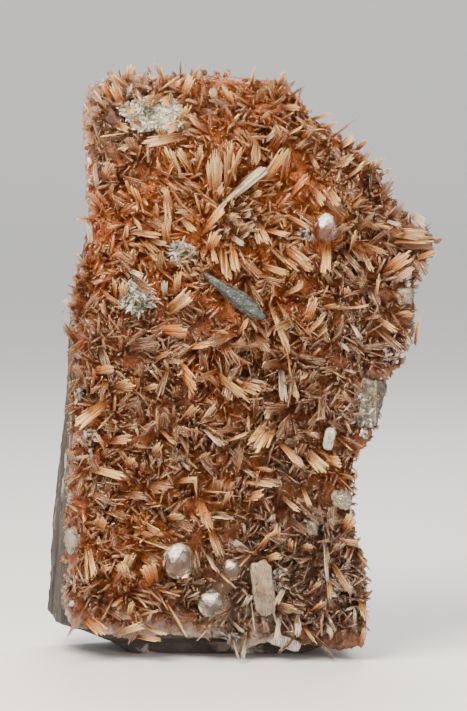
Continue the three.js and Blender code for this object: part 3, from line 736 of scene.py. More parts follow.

# %% [markdown]
# These blades were traced too, to give each part of the crust the sheaves that stand out in it.
# They are sorted by colour: cream, a glassy white, tan, mauve in the middle of the star, and the
# strong orange of broad blades that the light shines through. They are too fine for the solids, and
# they lie on the solids' sprays. Chance alone would grow as many, but not where the eye looks for one.

# %% Traced blades
TRACED_BLADES = {  # root X and Z, tip X and Z, width
    "cream": [
        (-9.4, 91.6, -9.9, 89, 1.1), (-6.2, 91, -7.9, 89.4, 1.1), (-4.4, 86.4, -7.2, 85.4, 1.3),
        (-13.8, 88.9, -12.2, 88, 0.9), (-15.2, 86.2, -13, 85.4, 1),
        (-16.8, 88.4, -18.4, 91.6, 1.6), (-18.6, 86.6, -20.2, 89.6, 1.4), (-13.2, 91.6, -15.8, 94.2, 1.5),
        (-15.6, 90.2, -17.6, 93.2, 1.4), (-8.4, 91.2, -5.6, 93.6, 1.3), (-4.6, 90.6, -3, 94.2, 1.2),
        (-13.4, 92.8, -12.6, 95.8, 1.1), (-7.4, 92.4, -8, 95.6, 1.3), (-3, 92.8, -2.2, 95.4, 1.1),
        (6.2, 92.2, 6.8, 95.4, 1.2), (10.6, 92, 11.6, 94.8, 1), (-5, 77.5, -7.2, 83, 1.7),
        (-2.6, 78.2, -5.3, 82.4, 1.5), (-6.2, 72, -7.6, 76.6, 0.9), (0.1, 75, -0.6, 80.6, 0.8),
        (0.6, 74, 1.8, 76.9, 0.8), (0.7, 73, 0.4, 82.5, 0.9), (0.9, 73.6, 1.2, 81.6, 0.9),
        (-1.2, 68.8, 0.8, 70.3, 0.5), (-5.2, 71.4, -2.4, 69.2, 0.8), (2.9, 66.8, 3.8, 62.8, 1),
        (6.6, 72.2, 8, 73.1, 0.5),
        (-14, 79.3, -17.8, 80.2, 0.9), (-12, 83.4, -14.8, 82.1, 1),
        (11.9, 84.4, 14.3, 85.9, 1), (11, 88.8, 14.1, 88.9, 1),
        (-10.8, 67.9, -7, 67.2, 0.8), (-10.7, 66.2, -8.5, 64.8, 0.9), (-14, 70, -16.3, 70.1, 0.9),
        (-12.9, 71.5, -11, 69.8, 0.8), (-14.3, 57.8, -14, 61.5, 1.1), (-16.5, 56.2, -17.9, 57.5, 1.2),
        (-0.3, 53, 2.5, 53.3, 0.9), (-16.7, 52.1, -13.8, 52.8, 0.6), (1.4, 67, 1.6, 63, 0.8),
        (7.3, 70.6, 9.3, 67.1, 1.1), (6.5, 70.5, 7.7, 67.3, 1), (11.5, 71.9, 15.9, 69.7, 0.8),
        (10.3, 67.8, 16, 63.3, 1.9), (9.9, 66, 13.9, 62.8, 1.3), (7.9, 63.7, 12.3, 62.6, 1),
        (9.1, 58.2, 12.4, 49.4, 1.3), (4, 52.4, 5.9, 55.4, 0.9), (17, 56.8, 20.5, 57.6, 0.8),
        (19.5, 56.6, 24.9, 57.5, 1.3), (16.3, 51.9, 18.5, 54.4, 1.1), (22, 65.2, 22.8, 69.5, 1.3),
        (27.3, 62.3, 31.7, 66.1, 1.6), (15.9, 86.9, 18.9, 88.1, 0.7), (17.4, 85.4, 20, 86.7, 1),
        (12.4, 85, 17.9, 85.5, 1), (22.8, 76.8, 23.3, 78.1, 0.8), (-16.9, 41.7, -21.8, 38.2, 1.7),
        (-15.9, 40.1, -18.1, 37.7, 1.2), (-20, 31.3, -13.6, 30.2, 1.2), (-0.1, 46.9, 6.2, 42.4, 1.8),
        (3, 45.2, 7.9, 43.8, 1.4), (-3.4, 31.7, -0.1, 34.3, 0.9), (1, 35.1, 5.9, 37.3, 1.2),
        (-2.4, 26.6, -2.7, 30, 1.7), (-6, 28.9, -2.4, 29.8, 0.9), (15, 38, 17.9, 39.9, 1),
        (14.9, 33.9, 18.2, 30.9, 1.8), (20, 30.3, 22.9, 30, 1.1), (12, 50.6, 12.6, 46, 0.8),
        (12.6, 46.2, 13.7, 42.1, 0.8), (10.8, 35.5, 14.5, 31.7, 1.2), (5, 29.1, 11.1, 28.9, 1.2),
        (-20.3, 17.9, -20, 13.5, 1.1), (-19.8, 18, -18.7, 13.9, 1.1), (-11.8, 22.6, -7.9, 20.9, 1.3),
        (-10.5, 24.7, -7.9, 25.7, 0.9), (-9.9, 26.9, -8.1, 27.7, 0.9), (-13.4, 20.4, -6.5, 18.4, 1.4),
        (-6.4, 22.5, -3.2, 21.3, 1), (-0.5, 22, 1.5, 17.3, 1.6), (-10.7, 5.4, -7.3, 4.9, 1.3),
        (-15.4, 4.3, -10.6, 6.5, 1.1), (-20.2, 6.8, -17.1, 4.9, 1.7), (-12.1, 7, -8.3, 8.9, 1),
        (8.5, 16.3, 11.1, 17.8, 1.1), (10.3, 9.1, 13.7, 8.8, 1.3), (19, 19.5, 23.7, 19.5, 1.2),
        (23.7, 10.1, 24.8, 6.8, 1.4), (4, 42.1, 8.1, 42.7, 1), (-7.2, 56, -3.1, 59.8, 1.9),
    ],
    "white": [
        (1.2, 73, 4.8, 76.2, 1.3), (3.4, 74.8, 8.6, 79.5, 2), (5.2, 76, 9.2, 79.3, 1),
        (3, 81.2, 3.1, 83.7, 0.8),
        (3.2, 71, 4.4, 70.2, 0.6), (4.3, 67.9, 6, 69.1, 0.7), (4.5, 73.4, 6, 75, 0.7),
        (3.8, 72.4, 6.4, 72.8, 1), (-5.6, 76.8, -5, 79.4, 0.9), (-18, 75.1, -18.6, 79.9, 1.2),
        (-14, 63.3, -10.8, 62.2, 0.9), (-7.6, 58.5, -7.5, 61.6, 1), (-4.3, 62.2, -2.1, 62.5, 0.5),
        (3.3, 68.3, 5.1, 67.1, 0.9), (-5.1, 51.2, -3.3, 50.8, 0.5), (20, 51.5, 21.9, 50.3, 0.9),
        (22.1, 54.7, 23.9, 51.9, 0.9), (27, 71.1, 30.1, 70.2, 0.7), (31.8, 71.8, 34, 70.3, 1.8),
        (16.6, 84.3, 18.2, 84.1, 0.6), (26.9, 78, 28.3, 79.5, 1.4), (27.4, 76.2, 28.7, 78.1, 1.3),
        (-13.5, 89.8, -12.7, 92.7, 0.9), (0.7, 89.3, -0.1, 92.1, 1.2), (8.3, 83.2, 10.1, 85.2, 1.3),
        (-1.3, 37.5, 1.5, 35, 1), (-5.5, 32.5, -3.5, 31.3, 0.7), (-18.7, 33.2, -21.9, 33.2, 0.8),
        (4, 45.7, 9.1, 45.1, 0.6), (11.1, 47, 11.4, 42.2, 1.5), (23.2, 42.5, 21, 40.7, 0.9),
        (4, 31.3, 7.1, 30.1, 0.6), (21, 47, 22.9, 46.9, 0.4), (-0.8, 17.2, 0.8, 14.9, 1.1),
        (-1.4, 23.4, 3.5, 23.4, 1.2), (18, 20.2, 18.4, 13, 1.1), (23.4, 9.1, 21.4, 8.5, 1.1),
        (18, 5.9, 19.4, 4.7, 1.3), (5.6, 3.4, 4.8, 0.5, 1.1), (3.2, 3.6, 4.4, 0.6, 1.2),
        (8.2, 14.8, 9.3, 10.2, 0.6), (9.2, 10, 11.1, 4.2, 0.8), (6, 17.6, 3.1, 20.1, 1.2),
        (5.5, 19.3, 5, 22.8, 0.6), (-4.7, 9.9, -1.9, 11.7, 0.8), (13.4, 8.6, 13.9, 4.4, 1.1),
        (-10.4, 5.8, -9.8, 8.3, 0.8), (9.9, 22, 9.7, 24.2, 0.7), (8.3, 22.1, 10.3, 24.1, 0.7),
        (22.3, 11.8, 24.5, 14.1, 1), (-19.4, 66.8, -19.4, 70.8, 1.1), (11.4, 4.6, 13.2, 5.3, 0.4),
        (-12.4, 38.7, -11.7, 36.5, 0.5), (-11.6, 38.2, -10.1, 37.3, 0.4), (-22, 58.5, -23.8, 57.8, 0.9),
        (22.6, 5, 22.9, 9.1, 1.3), (4.8, 8.4, 6.4, 11.4, 1), (6.2, 10.2, 6.8, 5.4, 0.9),
        (11, 8, 10.2, 3.4, 0.9), (12.2, 12.8, 10, 9.4, 0.9), (2.4, 6.8, 5.6, 4.8, 1),
    ],
    "tan": [
        (-4, 84.4, -11, 83.3, 1.4), (-12.6, 84.9, -17.6, 84.4, 1.8), (-14, 88.7, -15.7, 92.7, 1.3),
        (-7.5, 78.1, -8.8, 80.6, 0.7), (-2.2, 79.3, -1.6, 83, 0.7), (2.6, 76.2, 4.8, 83, 0.9),
        (2.3, 75, 2.5, 82.4, 1.1), (7.6, 76.4, 11.9, 82.7, 1.5), (-2.6, 80, -2.6, 81.8, 0.4),
        (-1.4, 72.2, -5.9, 72.5, 0.8), (-2.2, 71, -4.6, 73.6, 0.8), (-1.6, 71.4, -2.8, 75.6, 0.9),
        (5.8, 74.6, 8, 75.6, 0.9), (6.3, 70.6, 7.3, 67.3, 0.7), (4.2, 66.8, 5.3, 64.2, 0.7),
        (0.2, 66.8, 0.6, 64.2, 0.9), (2, 66.6, 2.4, 62.6, 0.9), (1.6, 71.4, 4.6, 71.8, 1),
        (7.4, 84.8, 6.7, 80, 1.7), (7.5, 85.9, 9, 88.5, 0.8), (-0.4, 85, -3.8, 87.6, 1.4),
        (-5.4, 86, -3.6, 89.4, 1.3), (-15.5, 58.4, -15.4, 61.8, 1), (-5.7, 58.2, -5.3, 63.2, 1.2),
        (-18.8, 70.9, -21.4, 71.2, 1), (-7.3, 65.8, -7, 72.4, 1.2), (-16.5, 64.5, -14.3, 66, 0.9),
        (-20.6, 63.6, -21.4, 66, 1), (10.9, 58.7, 14.5, 60.8, 1.1), (14.2, 58.8, 14, 61.8, 0.8),
        (14.2, 51.8, 18.1, 56.2, 1.4), (8.5, 69.5, 12.3, 68.7, 1.1), (25.9, 55.6, 29.4, 53.3, 1),
        (23.7, 67.3, 28.1, 65.7, 0.9), (24, 66, 25.3, 63, 1.2), (28.1, 60.7, 32.4, 63.8, 1.1),
        (27.9, 69.1, 34.4, 68.6, 1.6), (28.9, 67.7, 35.6, 68, 1.5), (31.8, 64.5, 35.7, 66.2, 0.9),
        (26.1, 57.2, 26.6, 62.5, 1.4), (21.4, 57.7, 21.6, 60.6, 1), (29.3, 55.5, 32, 56.5, 1.5),
        (32.4, 51, 32.9, 55.9, 1), (20.5, 82.6, 22.5, 84.3, 1.3), (23, 82, 24.5, 83.9, 0.9),
        (22.9, 79.3, 26.2, 80.8, 1.2), (25.9, 78.8, 26.9, 80.9, 1.1), (15.9, 76.1, 17.9, 73.6, 1.2),
        (18.3, 76.1, 20.1, 73.4, 1.4), (20, 79.2, 22.6, 81.2, 1.3), (-16.2, 32.5, -18.5, 37.4, 1.3),
        (-14, 30.9, -12.3, 33.4, 1.5), (-8.8, 35.8, -8.8, 41.2, 1.3), (-9.7, 32.9, -8, 35.8, 0.9),
        (-8.5, 37.7, -5.8, 35.3, 0.9), (-5.1, 38.2, -2.2, 41.7, 1.3), (-2.1, 37.9, 0.5, 41.8, 1.3),
        (-9.7, 48.3, -6, 50.5, 0.6), (-8.5, 48.2, -4.5, 48.6, 0.6), (-11.1, 43.7, -8.3, 45.1, 0.8),
        (-19, 46.6, -15.4, 47.7, 1.3), (-17.1, 35.4, -12.5, 36.4, 1.3), (9.8, 42.1, 8.5, 39.6, 1.2),
        (6, 40.2, 5.8, 37.4, 0.8), (6.3, 31, 9.6, 31.3, 0.9), (20.2, 29.8, 22.6, 27.9, 0.9),
        (18.7, 46.9, 21, 46.1, 0.8), (15.7, 46.8, 14.1, 45.7, 0.7), (8, 45.6, 10.4, 47.1, 0.7),
        (-18.5, 14.1, -16, 16.1, 0.8), (-21.9, 15.5, -20.5, 13.4, 0.8), (-15.3, 12.4, -12.6, 18.2, 1.6),
        (-13.6, 6.7, -12.7, 10.2, 0.8), (-12.5, 11.1, -10.3, 8.9, 0.7), (-7.5, 9.7, -3.9, 4.5, 1.3),
        (-12.1, 4, -7.9, 3.8, 1.1), (-2.5, 27.1, -0.2, 21.4, 1.5), (1.5, 24.4, 3.1, 28.1, 1.1),
        (-7.5, 22.7, -4.9, 24.1, 1.3), (0.7, 14.7, 3.8, 12.5, 1.4), (10.4, 17.9, 10.4, 22.8, 1),
        (15.6, 11.1, 17.7, 13.5, 0.7), (19.3, 15.6, 22.3, 11.4, 1), (18.6, 13.7, 19, 10.2, 1.3),
        (13.9, 17.9, 16.1, 19.3, 1), (12.4, 17.9, 12.8, 20.2, 1), (10.5, 27.1, 14.1, 24.5, 0.7),
        (14.5, 28.1, 15.7, 25.3, 0.7), (23.1, 17.2, 25.3, 15.3, 1.5), (14.4, 6.1, 16.7, 3.3, 1.1),
        (16, 7.9, 18, 10.2, 1.1), (23.8, 2.2, 24.7, 6.1, 1), (21, 21, 22.6, 24.1, 1.9),
        (22.7, 28.2, 23.2, 31.9, 1), (-23.4, 25.2, -21.4, 24.8, 0.8),
    ],
    "mauve": [
        (2.2, 70.5, 3.6, 72.2, 0.7), (3.4, 69.4, 5, 70.6, 0.7), (1.2, 70, 0.4, 71.9, 0.6),
        (4.6, 71.2, 6.3, 72.2, 0.8), (2.8, 72.4, 3.5, 74.4, 0.7), (5.2, 69.6, 6.8, 70.2, 0.7),
        (0.4, 68.6, 1.7, 69.8, 0.7), (3.9, 68.4, 4.3, 69.8, 0.6), (1.9, 68.2, 2.7, 69.9, 0.7),
        (2.4, 71.6, 1.4, 73.2, 0.7), (4.2, 72.8, 5.4, 73.9, 0.7), (5.8, 70.8, 7.2, 71.4, 0.6),
    ],
    "orange": [
        (-1.6, 69, 2.4, 73.6, 2), (-0.8, 65.4, 0.9, 69.4, 1.5), (-6.6, 66.2, -7.4, 71, 1.4),
        (-13.6, 69.2, -7.9, 68.6, 1.3), (-8.7, 53.2, -3.5, 53.7, 1.7),
        (-4.1, 50.6, 0.1, 51.4, 1.8), (15, 54.2, 16.5, 59.2, 1.3), (17, 57.9, 18.5, 60.6, 0.8),
        (3.3, 88.8, 2.1, 92.2, 1.7), (-5.8, 48.2, -2.4, 44.2, 3), (9.7, 38.9, 6.5, 34.3, 2.9),
        (18.1, 32.6, 20.7, 32.4, 1.6), (-13.4, 12.6, -14.6, 16.8, 1.5), (7.5, 17.9, 10.3, 21.8, 1.6),
        (-9.4, 12.6, -10.4, 16.4, 2.2), (-18.2, 20.4, -17.4, 24, 1.6), (2.6, 77.6, 3.6, 81.6, 1.4),
        (24, 70, 28.2, 70.1, 1.5), (-15.8, 44, -12.2, 45.2, 2), (21.6, 77.8, 24.2, 80.2, 1.5),
        (-15.4, 76.4, -16.8, 80.4, 1.6), (-11.2, 72.6, -12.6, 76.6, 1.8), (12.2, 74.6, 15.2, 78.2, 1.8),
        (18.4, 66.8, 18, 62.6, 1.8), (-1.4, 27.4, 2.4, 27.8, 1.6), (5.2, 26.2, 8.2, 27.4, 1.8),
    ],
}
print("traced blades:", {kind: len(blades) for kind, blades in TRACED_BLADES.items()})

# %% [markdown]
# A traced blade has no depth of its own in the photo's plane. It starts on the bed, and its tip stands
# further off the longer it is, which tilts long and short ones alike. Its kind gives its colour.

# %% Roots of the traced blades
KIND_LOOKS = {  # warmth, pallor, and how much wider than traced
    "cream": (0.7, 0.7, 1.2), "white": (0.1, 1.3, 1), "tan": (0.62, 0.42, 1.2),
    "orange": (0.8, 0.3, 1.2), "mauve": (0, 0.9, 1.2),
}
KIND_CHANCE = 0.08  # how much one blade's colour differs from its kind's
STAR_PALER = 0.2
TRACED_OFF = (3.3, 4.6)  # how far a tip stands off the bed, before its length counts
TILT = 0.15  # what its length adds to that
TRACED_START = 0.3  # how far in front of the bed it starts


def traced_row(pick, kind, rx, rz, tx, tz, width):
    """One traced blade."""
    warmth, pallor, wider = KIND_LOOKS[kind]
    off = pick.uniform(*TRACED_OFF) + TILT * math.hypot(tx - rx, tz - rz)
    root = (rx, BED_FRONT - swell(rx, rz) - TRACED_START, rz)
    row = root_row(pick, root, (tx, BED_FRONT - off, tz), wider * width)
    paler = STAR_PALER if math.dist((rx, rz), STAR) < STAR_REACH else 0
    row["warmth"] = held(warmth + pick.gauss(0, KIND_CHANCE))
    row["pallor"] = pallor + pick.gauss(0, KIND_CHANCE) + paler
    return row


def traced_roots(pick, *kinds):
    return [traced_row(pick, kind, *blade) for kind in kinds for blade in TRACED_BLADES[kind]]


print("a cream blade starts at:", traced_roots(random.Random(0), "cream")[0]["root"])

# %% [markdown]
# The blades between them must not hide what was placed one by one. So each leading or traced blade,
# and each long crystal, is a line that is kept clear. A blade that would lie over one is left out.

# %% Lines kept clear
CRYSTAL_LINES = [  # from X and Z to X and Z, and half the width that is kept clear
    (-1.6, 62.6, 8.2, 55.7, 1.7),  # dark spindle
    (7.6, 8.2, 8.9, 15.8, 1.6),  # pale slab
    (9.4, 2.5, 13.6, 3.8, 0.8),  # white tablet
    (18.5, 35, 19, 37.6, 1),  # white prism
    (26.4, 38, 26.9, 45, 1),  # quartz plate
]
COVERED = 0.35  # how much of a blade's width may be covered from each side
TRIED = (0.15, 0.6, 1)  # the parts of a new blade's length that are tried
LEADING_GAP = 0.4
TRACED_GAP = 0.3


def kept_lines(blades, gap):
    return [(*blade[:4], COVERED * blade[-1] + gap) for blade in blades]


KEPT_CLEAR = kept_lines(LEADING_BLADES, LEADING_GAP)
for blades in TRACED_BLADES.values():
    KEPT_CLEAR += kept_lines(blades, TRACED_GAP)
KEPT_CLEAR += CRYSTAL_LINES
CLEAR_STARTS = np.array([line[:2] for line in KEPT_CLEAR])
CLEAR_WAYS = np.array([(tx - rx, tz - rz) for rx, rz, tx, tz, half in KEPT_CLEAR])
CLEAR_HALVES = np.array([line[4] for line in KEPT_CLEAR])


def crosses(x, z, tip_x, tip_z, margin):
    """Whether a sheaf would lie over a line that is kept clear."""
    for share in TRIED:
        place = np.array((x + share * (tip_x - x), z + share * (tip_z - z)))
        off = place - CLEAR_STARTS
        along = np.clip((off * CLEAR_WAYS).sum(1) / (CLEAR_WAYS ** 2).sum(1), 0, 1)
        gaps = np.linalg.norm(off - along[:, None] * CLEAR_WAYS, axis=1) - CLEAR_HALVES
        if gaps.min() < margin:
            return True
    return False


print("lines kept clear:", len(KEPT_CLEAR))

# %% [markdown]
# On the real crust the blades leave common centres like the spokes of a wheel, and a few of those
# centres catch the eye. They are named first, and a shifted grid gives the rest. Blades near a centre
# stand steeper.

# %% Centres that the blades point away from
CRUST_SIZE = (62, 96)  # X and Z that a grid has to cover
SEEN_CENTRES = [(-1, 70.4), (8.2, 14), (-9, 20), (12, 47), (-19, 39)]


def shifted_grid(pick, corner, pitch, stray):
    """Places row by row, each second row half a step on, and each place moved a little by chance."""
    for row in range(int(CRUST_SIZE[1] / pitch) + 1):
        for column in range(int(CRUST_SIZE[0] / pitch) + 1):
            x = corner[0] + (column + 0.5 * (row % 2) + pick.uniform(-stray, stray)) * pitch
            z = corner[1] + (row + pick.uniform(-stray, stray)) * pitch
            yield x, z


def spray_centres(seed, pitch, least_gap):
    """The centres that the eye sees, and others that keep a gap to all before."""
    spots = list(SEEN_CENTRES)
    for place in shifted_grid(random.Random(seed), (-26, 0), pitch, 0.35):
        if min(math.dist(place, spot) for spot in spots) > least_gap * pitch:
            spots.append(place)
    return np.array(spots)


CENTRES = spray_centres(8, 8.5, 0.6)


def away_from_centre(x, z):
    """The way out from the nearest spray centre, and how far off that is."""
    off = np.array((x, z)) - CENTRES
    far = np.linalg.norm(off, axis=1)
    near = far.argmin()
    return math.atan2(off[near][1], off[near][0]), far[near]


print("centres:", len(CENTRES))

# %% [markdown]
# Where the bed lies low and round the star, only short blades grow, so the higher ones stand in
# clumps with warm gaps between. At the top and the right the blades reach a little past the outline,
# which makes the ragged edge of the real crust. At the left and the foot they stay behind the rim.

# %% Where blades may grow
VALLEY_EDGE = -0.03  # the relief under which only low blades grow
RAGGED_LIMIT = 1.012  # how far out a blade may come, as a share of the way to the outline
FOOT_LIMIT = 1.0
RIM_LIMIT = 0.985
TOP_FROM = 88  # Z
FOOT_TO = 9  # Z


def share_limit(x, z):
    """How far out a blade at this place may come. The ragged side starts further right lower down."""
    ragged_from = 14 + 0.12 * max(60 - z, 0)
    if z > TOP_FROM or x > ragged_from:
        return RAGGED_LIMIT
    return FOOT_LIMIT if z < FOOT_TO else RIM_LIMIT


def low_ground(x, z):
    return relief(x, z) < VALLEY_EDGE or math.dist((x, z), STAR) < STAR_REACH


def spray_spots(pick, pitch, most_share):
    """Places for sprays over the whole crust."""
    for x, z in shifted_grid(pick, (-25, 1), pitch, 0.45):
        if edge_share(x, z) < most_share + share_limit(x, z) - 1 and not in_clearing(x, z, 0.2):
            yield x, z


print("limits at the left and the right:", share_limit(-20, 50), share_limit(30, 60))

# %% [markdown]
# The crust is filled with layers of fans, as inesite grows: the blades of a fan leave one spot and
# part by a small angle. Needles and low blades cover the bed, and the two layers above stand higher
# and grow longer. Each layer could be a Geometry Nodes tree that scatters points on the bed, but
# whether a blade has room is a question about its tip and its neighbours, which Python answers
# more plainly. So Python chooses the roots, and the tree grows them.

# %% Layers of the field
GROWN = (0.75, 1.25)  # how much one fan is longer or shorter than the next
FAN_STRAY = 1.6  # how far a fan's middle strays from the way out, as a share of its own angle
CENTRE_STEEPER = 35  # degrees, on a centre itself
CENTRE_REACH = 3
RISE_CHANCE = 8  # degrees
ROOT_CHANCE = 0.3
LEAST_RISE = 0.1  # radians
LAYER_PALLOR_CHANCE = 0.12
# The lower layers have a negative paler, so they are darker: painted shade, as they lie deep among the
# blades.
LAYERS = {  # rises are in degrees, fans in radians, and margin is the gap to the lines kept clear
    "needles": dict(
        seed=24, pitch=1.55, blades=4, lengths=(1.5, 2.6), widths=(0.45, 1.0), rises=(20, 65),
        depths=(-12.5, -12.0), fan=0.9, paler=-0.35, most_share=0.94,
    ),
    "low_blades": dict(
        seed=21, pitch=2.8, blades=3, lengths=(2.8, 4.8), widths=(0.7, 1.25), rises=(12, 45),
        depths=(-12.6, -12.1), fan=0.5, paler=-0.4, most_share=0.94,
    ),
    "middle_blades": dict(
        seed=22, pitch=3.7, blades=3, lengths=(3.6, 5.6), widths=(0.7, 1.2), rises=(12, 42),
        depths=(-13.0, -12.4), fan=0.35, paler=-0.2, most_share=0.95, margin=-0.1,
    ),
    "upper_blades": dict(
        seed=23, pitch=4.7, blades=3, lengths=(3.8, 6.0), widths=(1.0, 1.6), rises=(8, 34),
        depths=(-13.6, -12.8), fan=0.35, paler=0.0, most_share=0.95, margin=0.2,
    ),
}


def fan_blade(pick, layer, x, z, depth, middle, steep, grown):
    """One blade of a fan, or None where it would lie over a line that is kept clear."""
    heading = middle + pick.gauss(0, layer["fan"])
    rise = math.radians(steep + pick.gauss(0, RISE_CHANCE))
    length = pick.uniform(*layer["lengths"]) * grown
    reach = tip_reach(x, z, heading, length * math.cos(rise), share_limit(x, z))
    root = (x + pick.gauss(0, ROOT_CHANCE), depth, z + pick.gauss(0, ROOT_CHANCE))
    tip = (
        root[0] + reach * math.cos(heading), depth - length * math.sin(max(rise, LEAST_RISE)),
        root[2] + reach * math.sin(heading),
    )
    if "margin" in layer and crosses(x, z, tip[0], tip[2], layer["margin"]):
        return None
    blade = root_row(pick, root, tip, pick.uniform(*layer["widths"]))
    blade["pallor"] = held(blade["pallor"] + layer["paler"] + pick.gauss(0, LAYER_PALLOR_CHANCE))
    return blade


def layer_roots(name):
    """The fans of one layer. A layer that keeps lines clear also leaves out the low ground."""
    layer = LAYERS[name]
    pick = random.Random(layer["seed"])
    rows = []
    for x, z in spray_spots(pick, layer["pitch"], layer["most_share"]):
        if "margin" in layer and low_ground(x, z):
            continue
        depth = pick.uniform(*layer["depths"]) - swell(x, z)
        grown = pick.uniform(*GROWN)
        outward, far = away_from_centre(x, z)
        middle = outward + pick.gauss(0, FAN_STRAY * layer["fan"])
        steep = pick.uniform(*layer["rises"]) + CENTRE_STEEPER * max(1 - far / CENTRE_REACH, 0)
        fan = [fan_blade(pick, layer, x, z, depth, middle, steep, grown) for _ in range(layer["blades"])]
        rows += [blade for blade in fan if blade]
    return rows


print("layers:", ", ".join(LAYERS))

# %% [markdown]
# Short blades also lean out over the edge of the crust all the way round, thinly along the foot. The
# upper left has none, because the real crust ends there in a smooth glassy rim.

# %% Blades along the rim
RIM_SEED = 29
RIM_PITCH = 0.8
RIM_INWARD = (0.94, 0.98)  # how far out they start, as a share of the way to the outline
RIM_TIP_LIMIT = 1.004
RIM_LENGTHS = (1.2, 2.1)
RIM_RISES = (20, 65)  # degrees
RIM_DEPTHS = (-12.8, -10.2)  # Y
RIM_WIDTHS = (0.7, 1.5)
RIM_STRAY = 0.8  # radians
RIM_PALER = 0.1
THIN_TO = 5  # Z under which half of them are left out


def smooth_rim(x, z):
    return x < -15 and 72 < z < 90


def rim_spots(pick):
    """Places all along the outline, but for the glassy rim, and half as many along the foot."""
    for k, (ax, az) in enumerate(CRUST_OUTLINE):
        bx, bz = CRUST_OUTLINE[(k + 1) % len(CRUST_OUTLINE)]
        steps = int(math.hypot(bx - ax, bz - az) / RIM_PITCH) + 1
        for step in range(steps):
            along = (step + pick.random()) / steps
            x, z = ax + along * (bx - ax), az + along * (bz - az)
            taken = z > THIN_TO or pick.random() < 0.5
            if taken and not smooth_rim(x, z) and not in_clearing(x, z, 0):
                yield x, z


def rim_roots(seed):
    """Short blades that lean out over the edge of the crust."""
    pick = random.Random(seed)
    rows = []
    for x, z in rim_spots(pick):
        inward = pick.uniform(*RIM_INWARD)
        x, z = drawn_in(x, z, inward)
        heading = math.atan2(z - HEART[1], x - HEART[0]) + pick.gauss(0, RIM_STRAY)
        length, rise = pick.uniform(*RIM_LENGTHS), math.radians(pick.uniform(*RIM_RISES))
        reach = tip_reach(x, z, heading, length * math.cos(rise), RIM_TIP_LIMIT)
        depth = pick.uniform(*RIM_DEPTHS)
        tip = (x + reach * math.cos(heading), depth - length * math.sin(rise), z + reach * math.sin(heading))
        row = root_row(pick, (x, depth, z), tip, pick.uniform(*RIM_WIDTHS))
        row["pallor"] += RIM_PALER
        rows.append(row)
    return rows


print("blades along the rim:", len(rim_roots(RIM_SEED)))

# %% [markdown]
# Inesite is a glassy, see-through pink to orange. Low in the crust its colour is a deep red orange,
# and towards the free tips it turns to cream: partly the crystal's own colour, and partly painted shade
# near the bed and painted light where a blade stands out from it. Each of these colours has a cool and
# a warm form, and a blade's warmth mixes the two. Its tone, and the mark of each lath, keep neighbours
# apart.

# %% Inesite colours
# Deep at the roots and cream at the tips: partly own colour, partly painted shade and painted light.
DEEP = ((0.36, 0.19, 0.12), (0.74, 0.22, 0.052))  # cool and warm
BODY = ((0.5, 0.3, 0.2), (0.8, 0.37, 0.13))
TIP = ((0.76, 0.49, 0.26), (0.99, 0.61, 0.2))
PINK_TIP = (0.82, 0.52, 0.4)
FRAYED_TIP = (0.98, 0.7, 0.29)
WHITE_BLADE = (0.99, 0.87, 0.7)


def inesite_colour(paint, lines, palest, contrast, least):
    """From deep at the root to cream at the tip. Palest is the tips' cream, and least a root's light."""
    along, mark, tone, warmth, pallor = (
        paint.attribute(name) for name in ("along", "mark", "tone", "warmth", "pallor")
    )
    deep, body, tip = (paint.mix(warmth, *pair) for pair in (DEEP, BODY, TIP))
    pinkness = paint.maths("FRACT", tone * 7.3)
    tip = paint.mix(pinkness * (1 - warmth) * 0.6, tip, PINK_TIP)
    # Paler the further a place stands out from the bed in Y: painted light, as the outer parts catch more.
    height = paint.spread(paint.axis(1) * -1, 12, 17)
    cloud = paint.noise(paint.place(), 0.3, detail=2)
    shift = (tone - 0.5) * 0.85 + (mark - 0.5) * 0.15 + (pallor - 0.4) * 0.8 + (lines - 0.5) * 0.25
    shift = (shift + (cloud - 0.5) * 0.9) * contrast
    lower = paint.spread(along * 0.75 + height * 0.4 + shift * 0.6, -0.05, 0.95, least, 1)
    upper = paint.spread(along * 0.95 + height * 0.35 + shift, 0.6, 1.45, 0, palest)
    frayed = paint.spread(along + (lines - 0.5) * 0.3, 0.72, 1.0, 0, 0.35 * palest)
    white = paint.spread(pallor + (mark - 0.5) * 0.3, 0.95, 1.3, 0, 0.9)
    colour = paint.mix(upper, paint.mix(lower, deep, body), tip)
    colour = paint.mix(frayed, colour, FRAYED_TIP)
    return paint.mix(white, colour, WHITE_BLADE)


print("warmest body colour:", BODY[1])

# %% [markdown]
# Light enters a blade and comes out nearby. A volume inside each blade could do that, but thousands
# of them take too long to render, so the finish is partly see-through and spreads some light under
# the surface. Fine lines run along every lath. The blades of the field are the clearest, so that the
# warm bed glows through them, and the star's are the whitest.

# %% Inesite finishes
INESITE_IOR = 1.62
LINE_HEIGHT = 0.12 * MM


def inesite_finish(name, clear, glow, line_depth, palest, contrast=1.0, least=0.0):
    """Clear is the see-through share, and glow the light that spreads under the surface."""
    paint = Paint(name)
    across, along, tone, mark = (paint.attribute(name) for name in ("across", "along", "tone", "mark"))
    sockets = {"X": across * 2.4, "Y": along * 1.1, "Z": tone * 37 + mark * 23}
    lines = paint.noise(paint.node("ShaderNodeCombineXYZ", {}, sockets), 1.0, detail=4, roughness=0.65)
    return paint.surface({
        "Base Color": inesite_colour(paint, lines, palest, contrast, least),
        "Roughness": paint.spread(lines, 0.3, 0.75, 0.18, 0.42), "Specular IOR Level": 0.3,
        "Normal": paint.bump(lines, line_depth, LINE_HEIGHT),
        "IOR": INESITE_IOR, "Transmission Weight": clear,
        "Subsurface Weight": glow, "Subsurface Radius": (1.0, 0.65, 0.4), "Subsurface Scale": 1 * MM,
    })


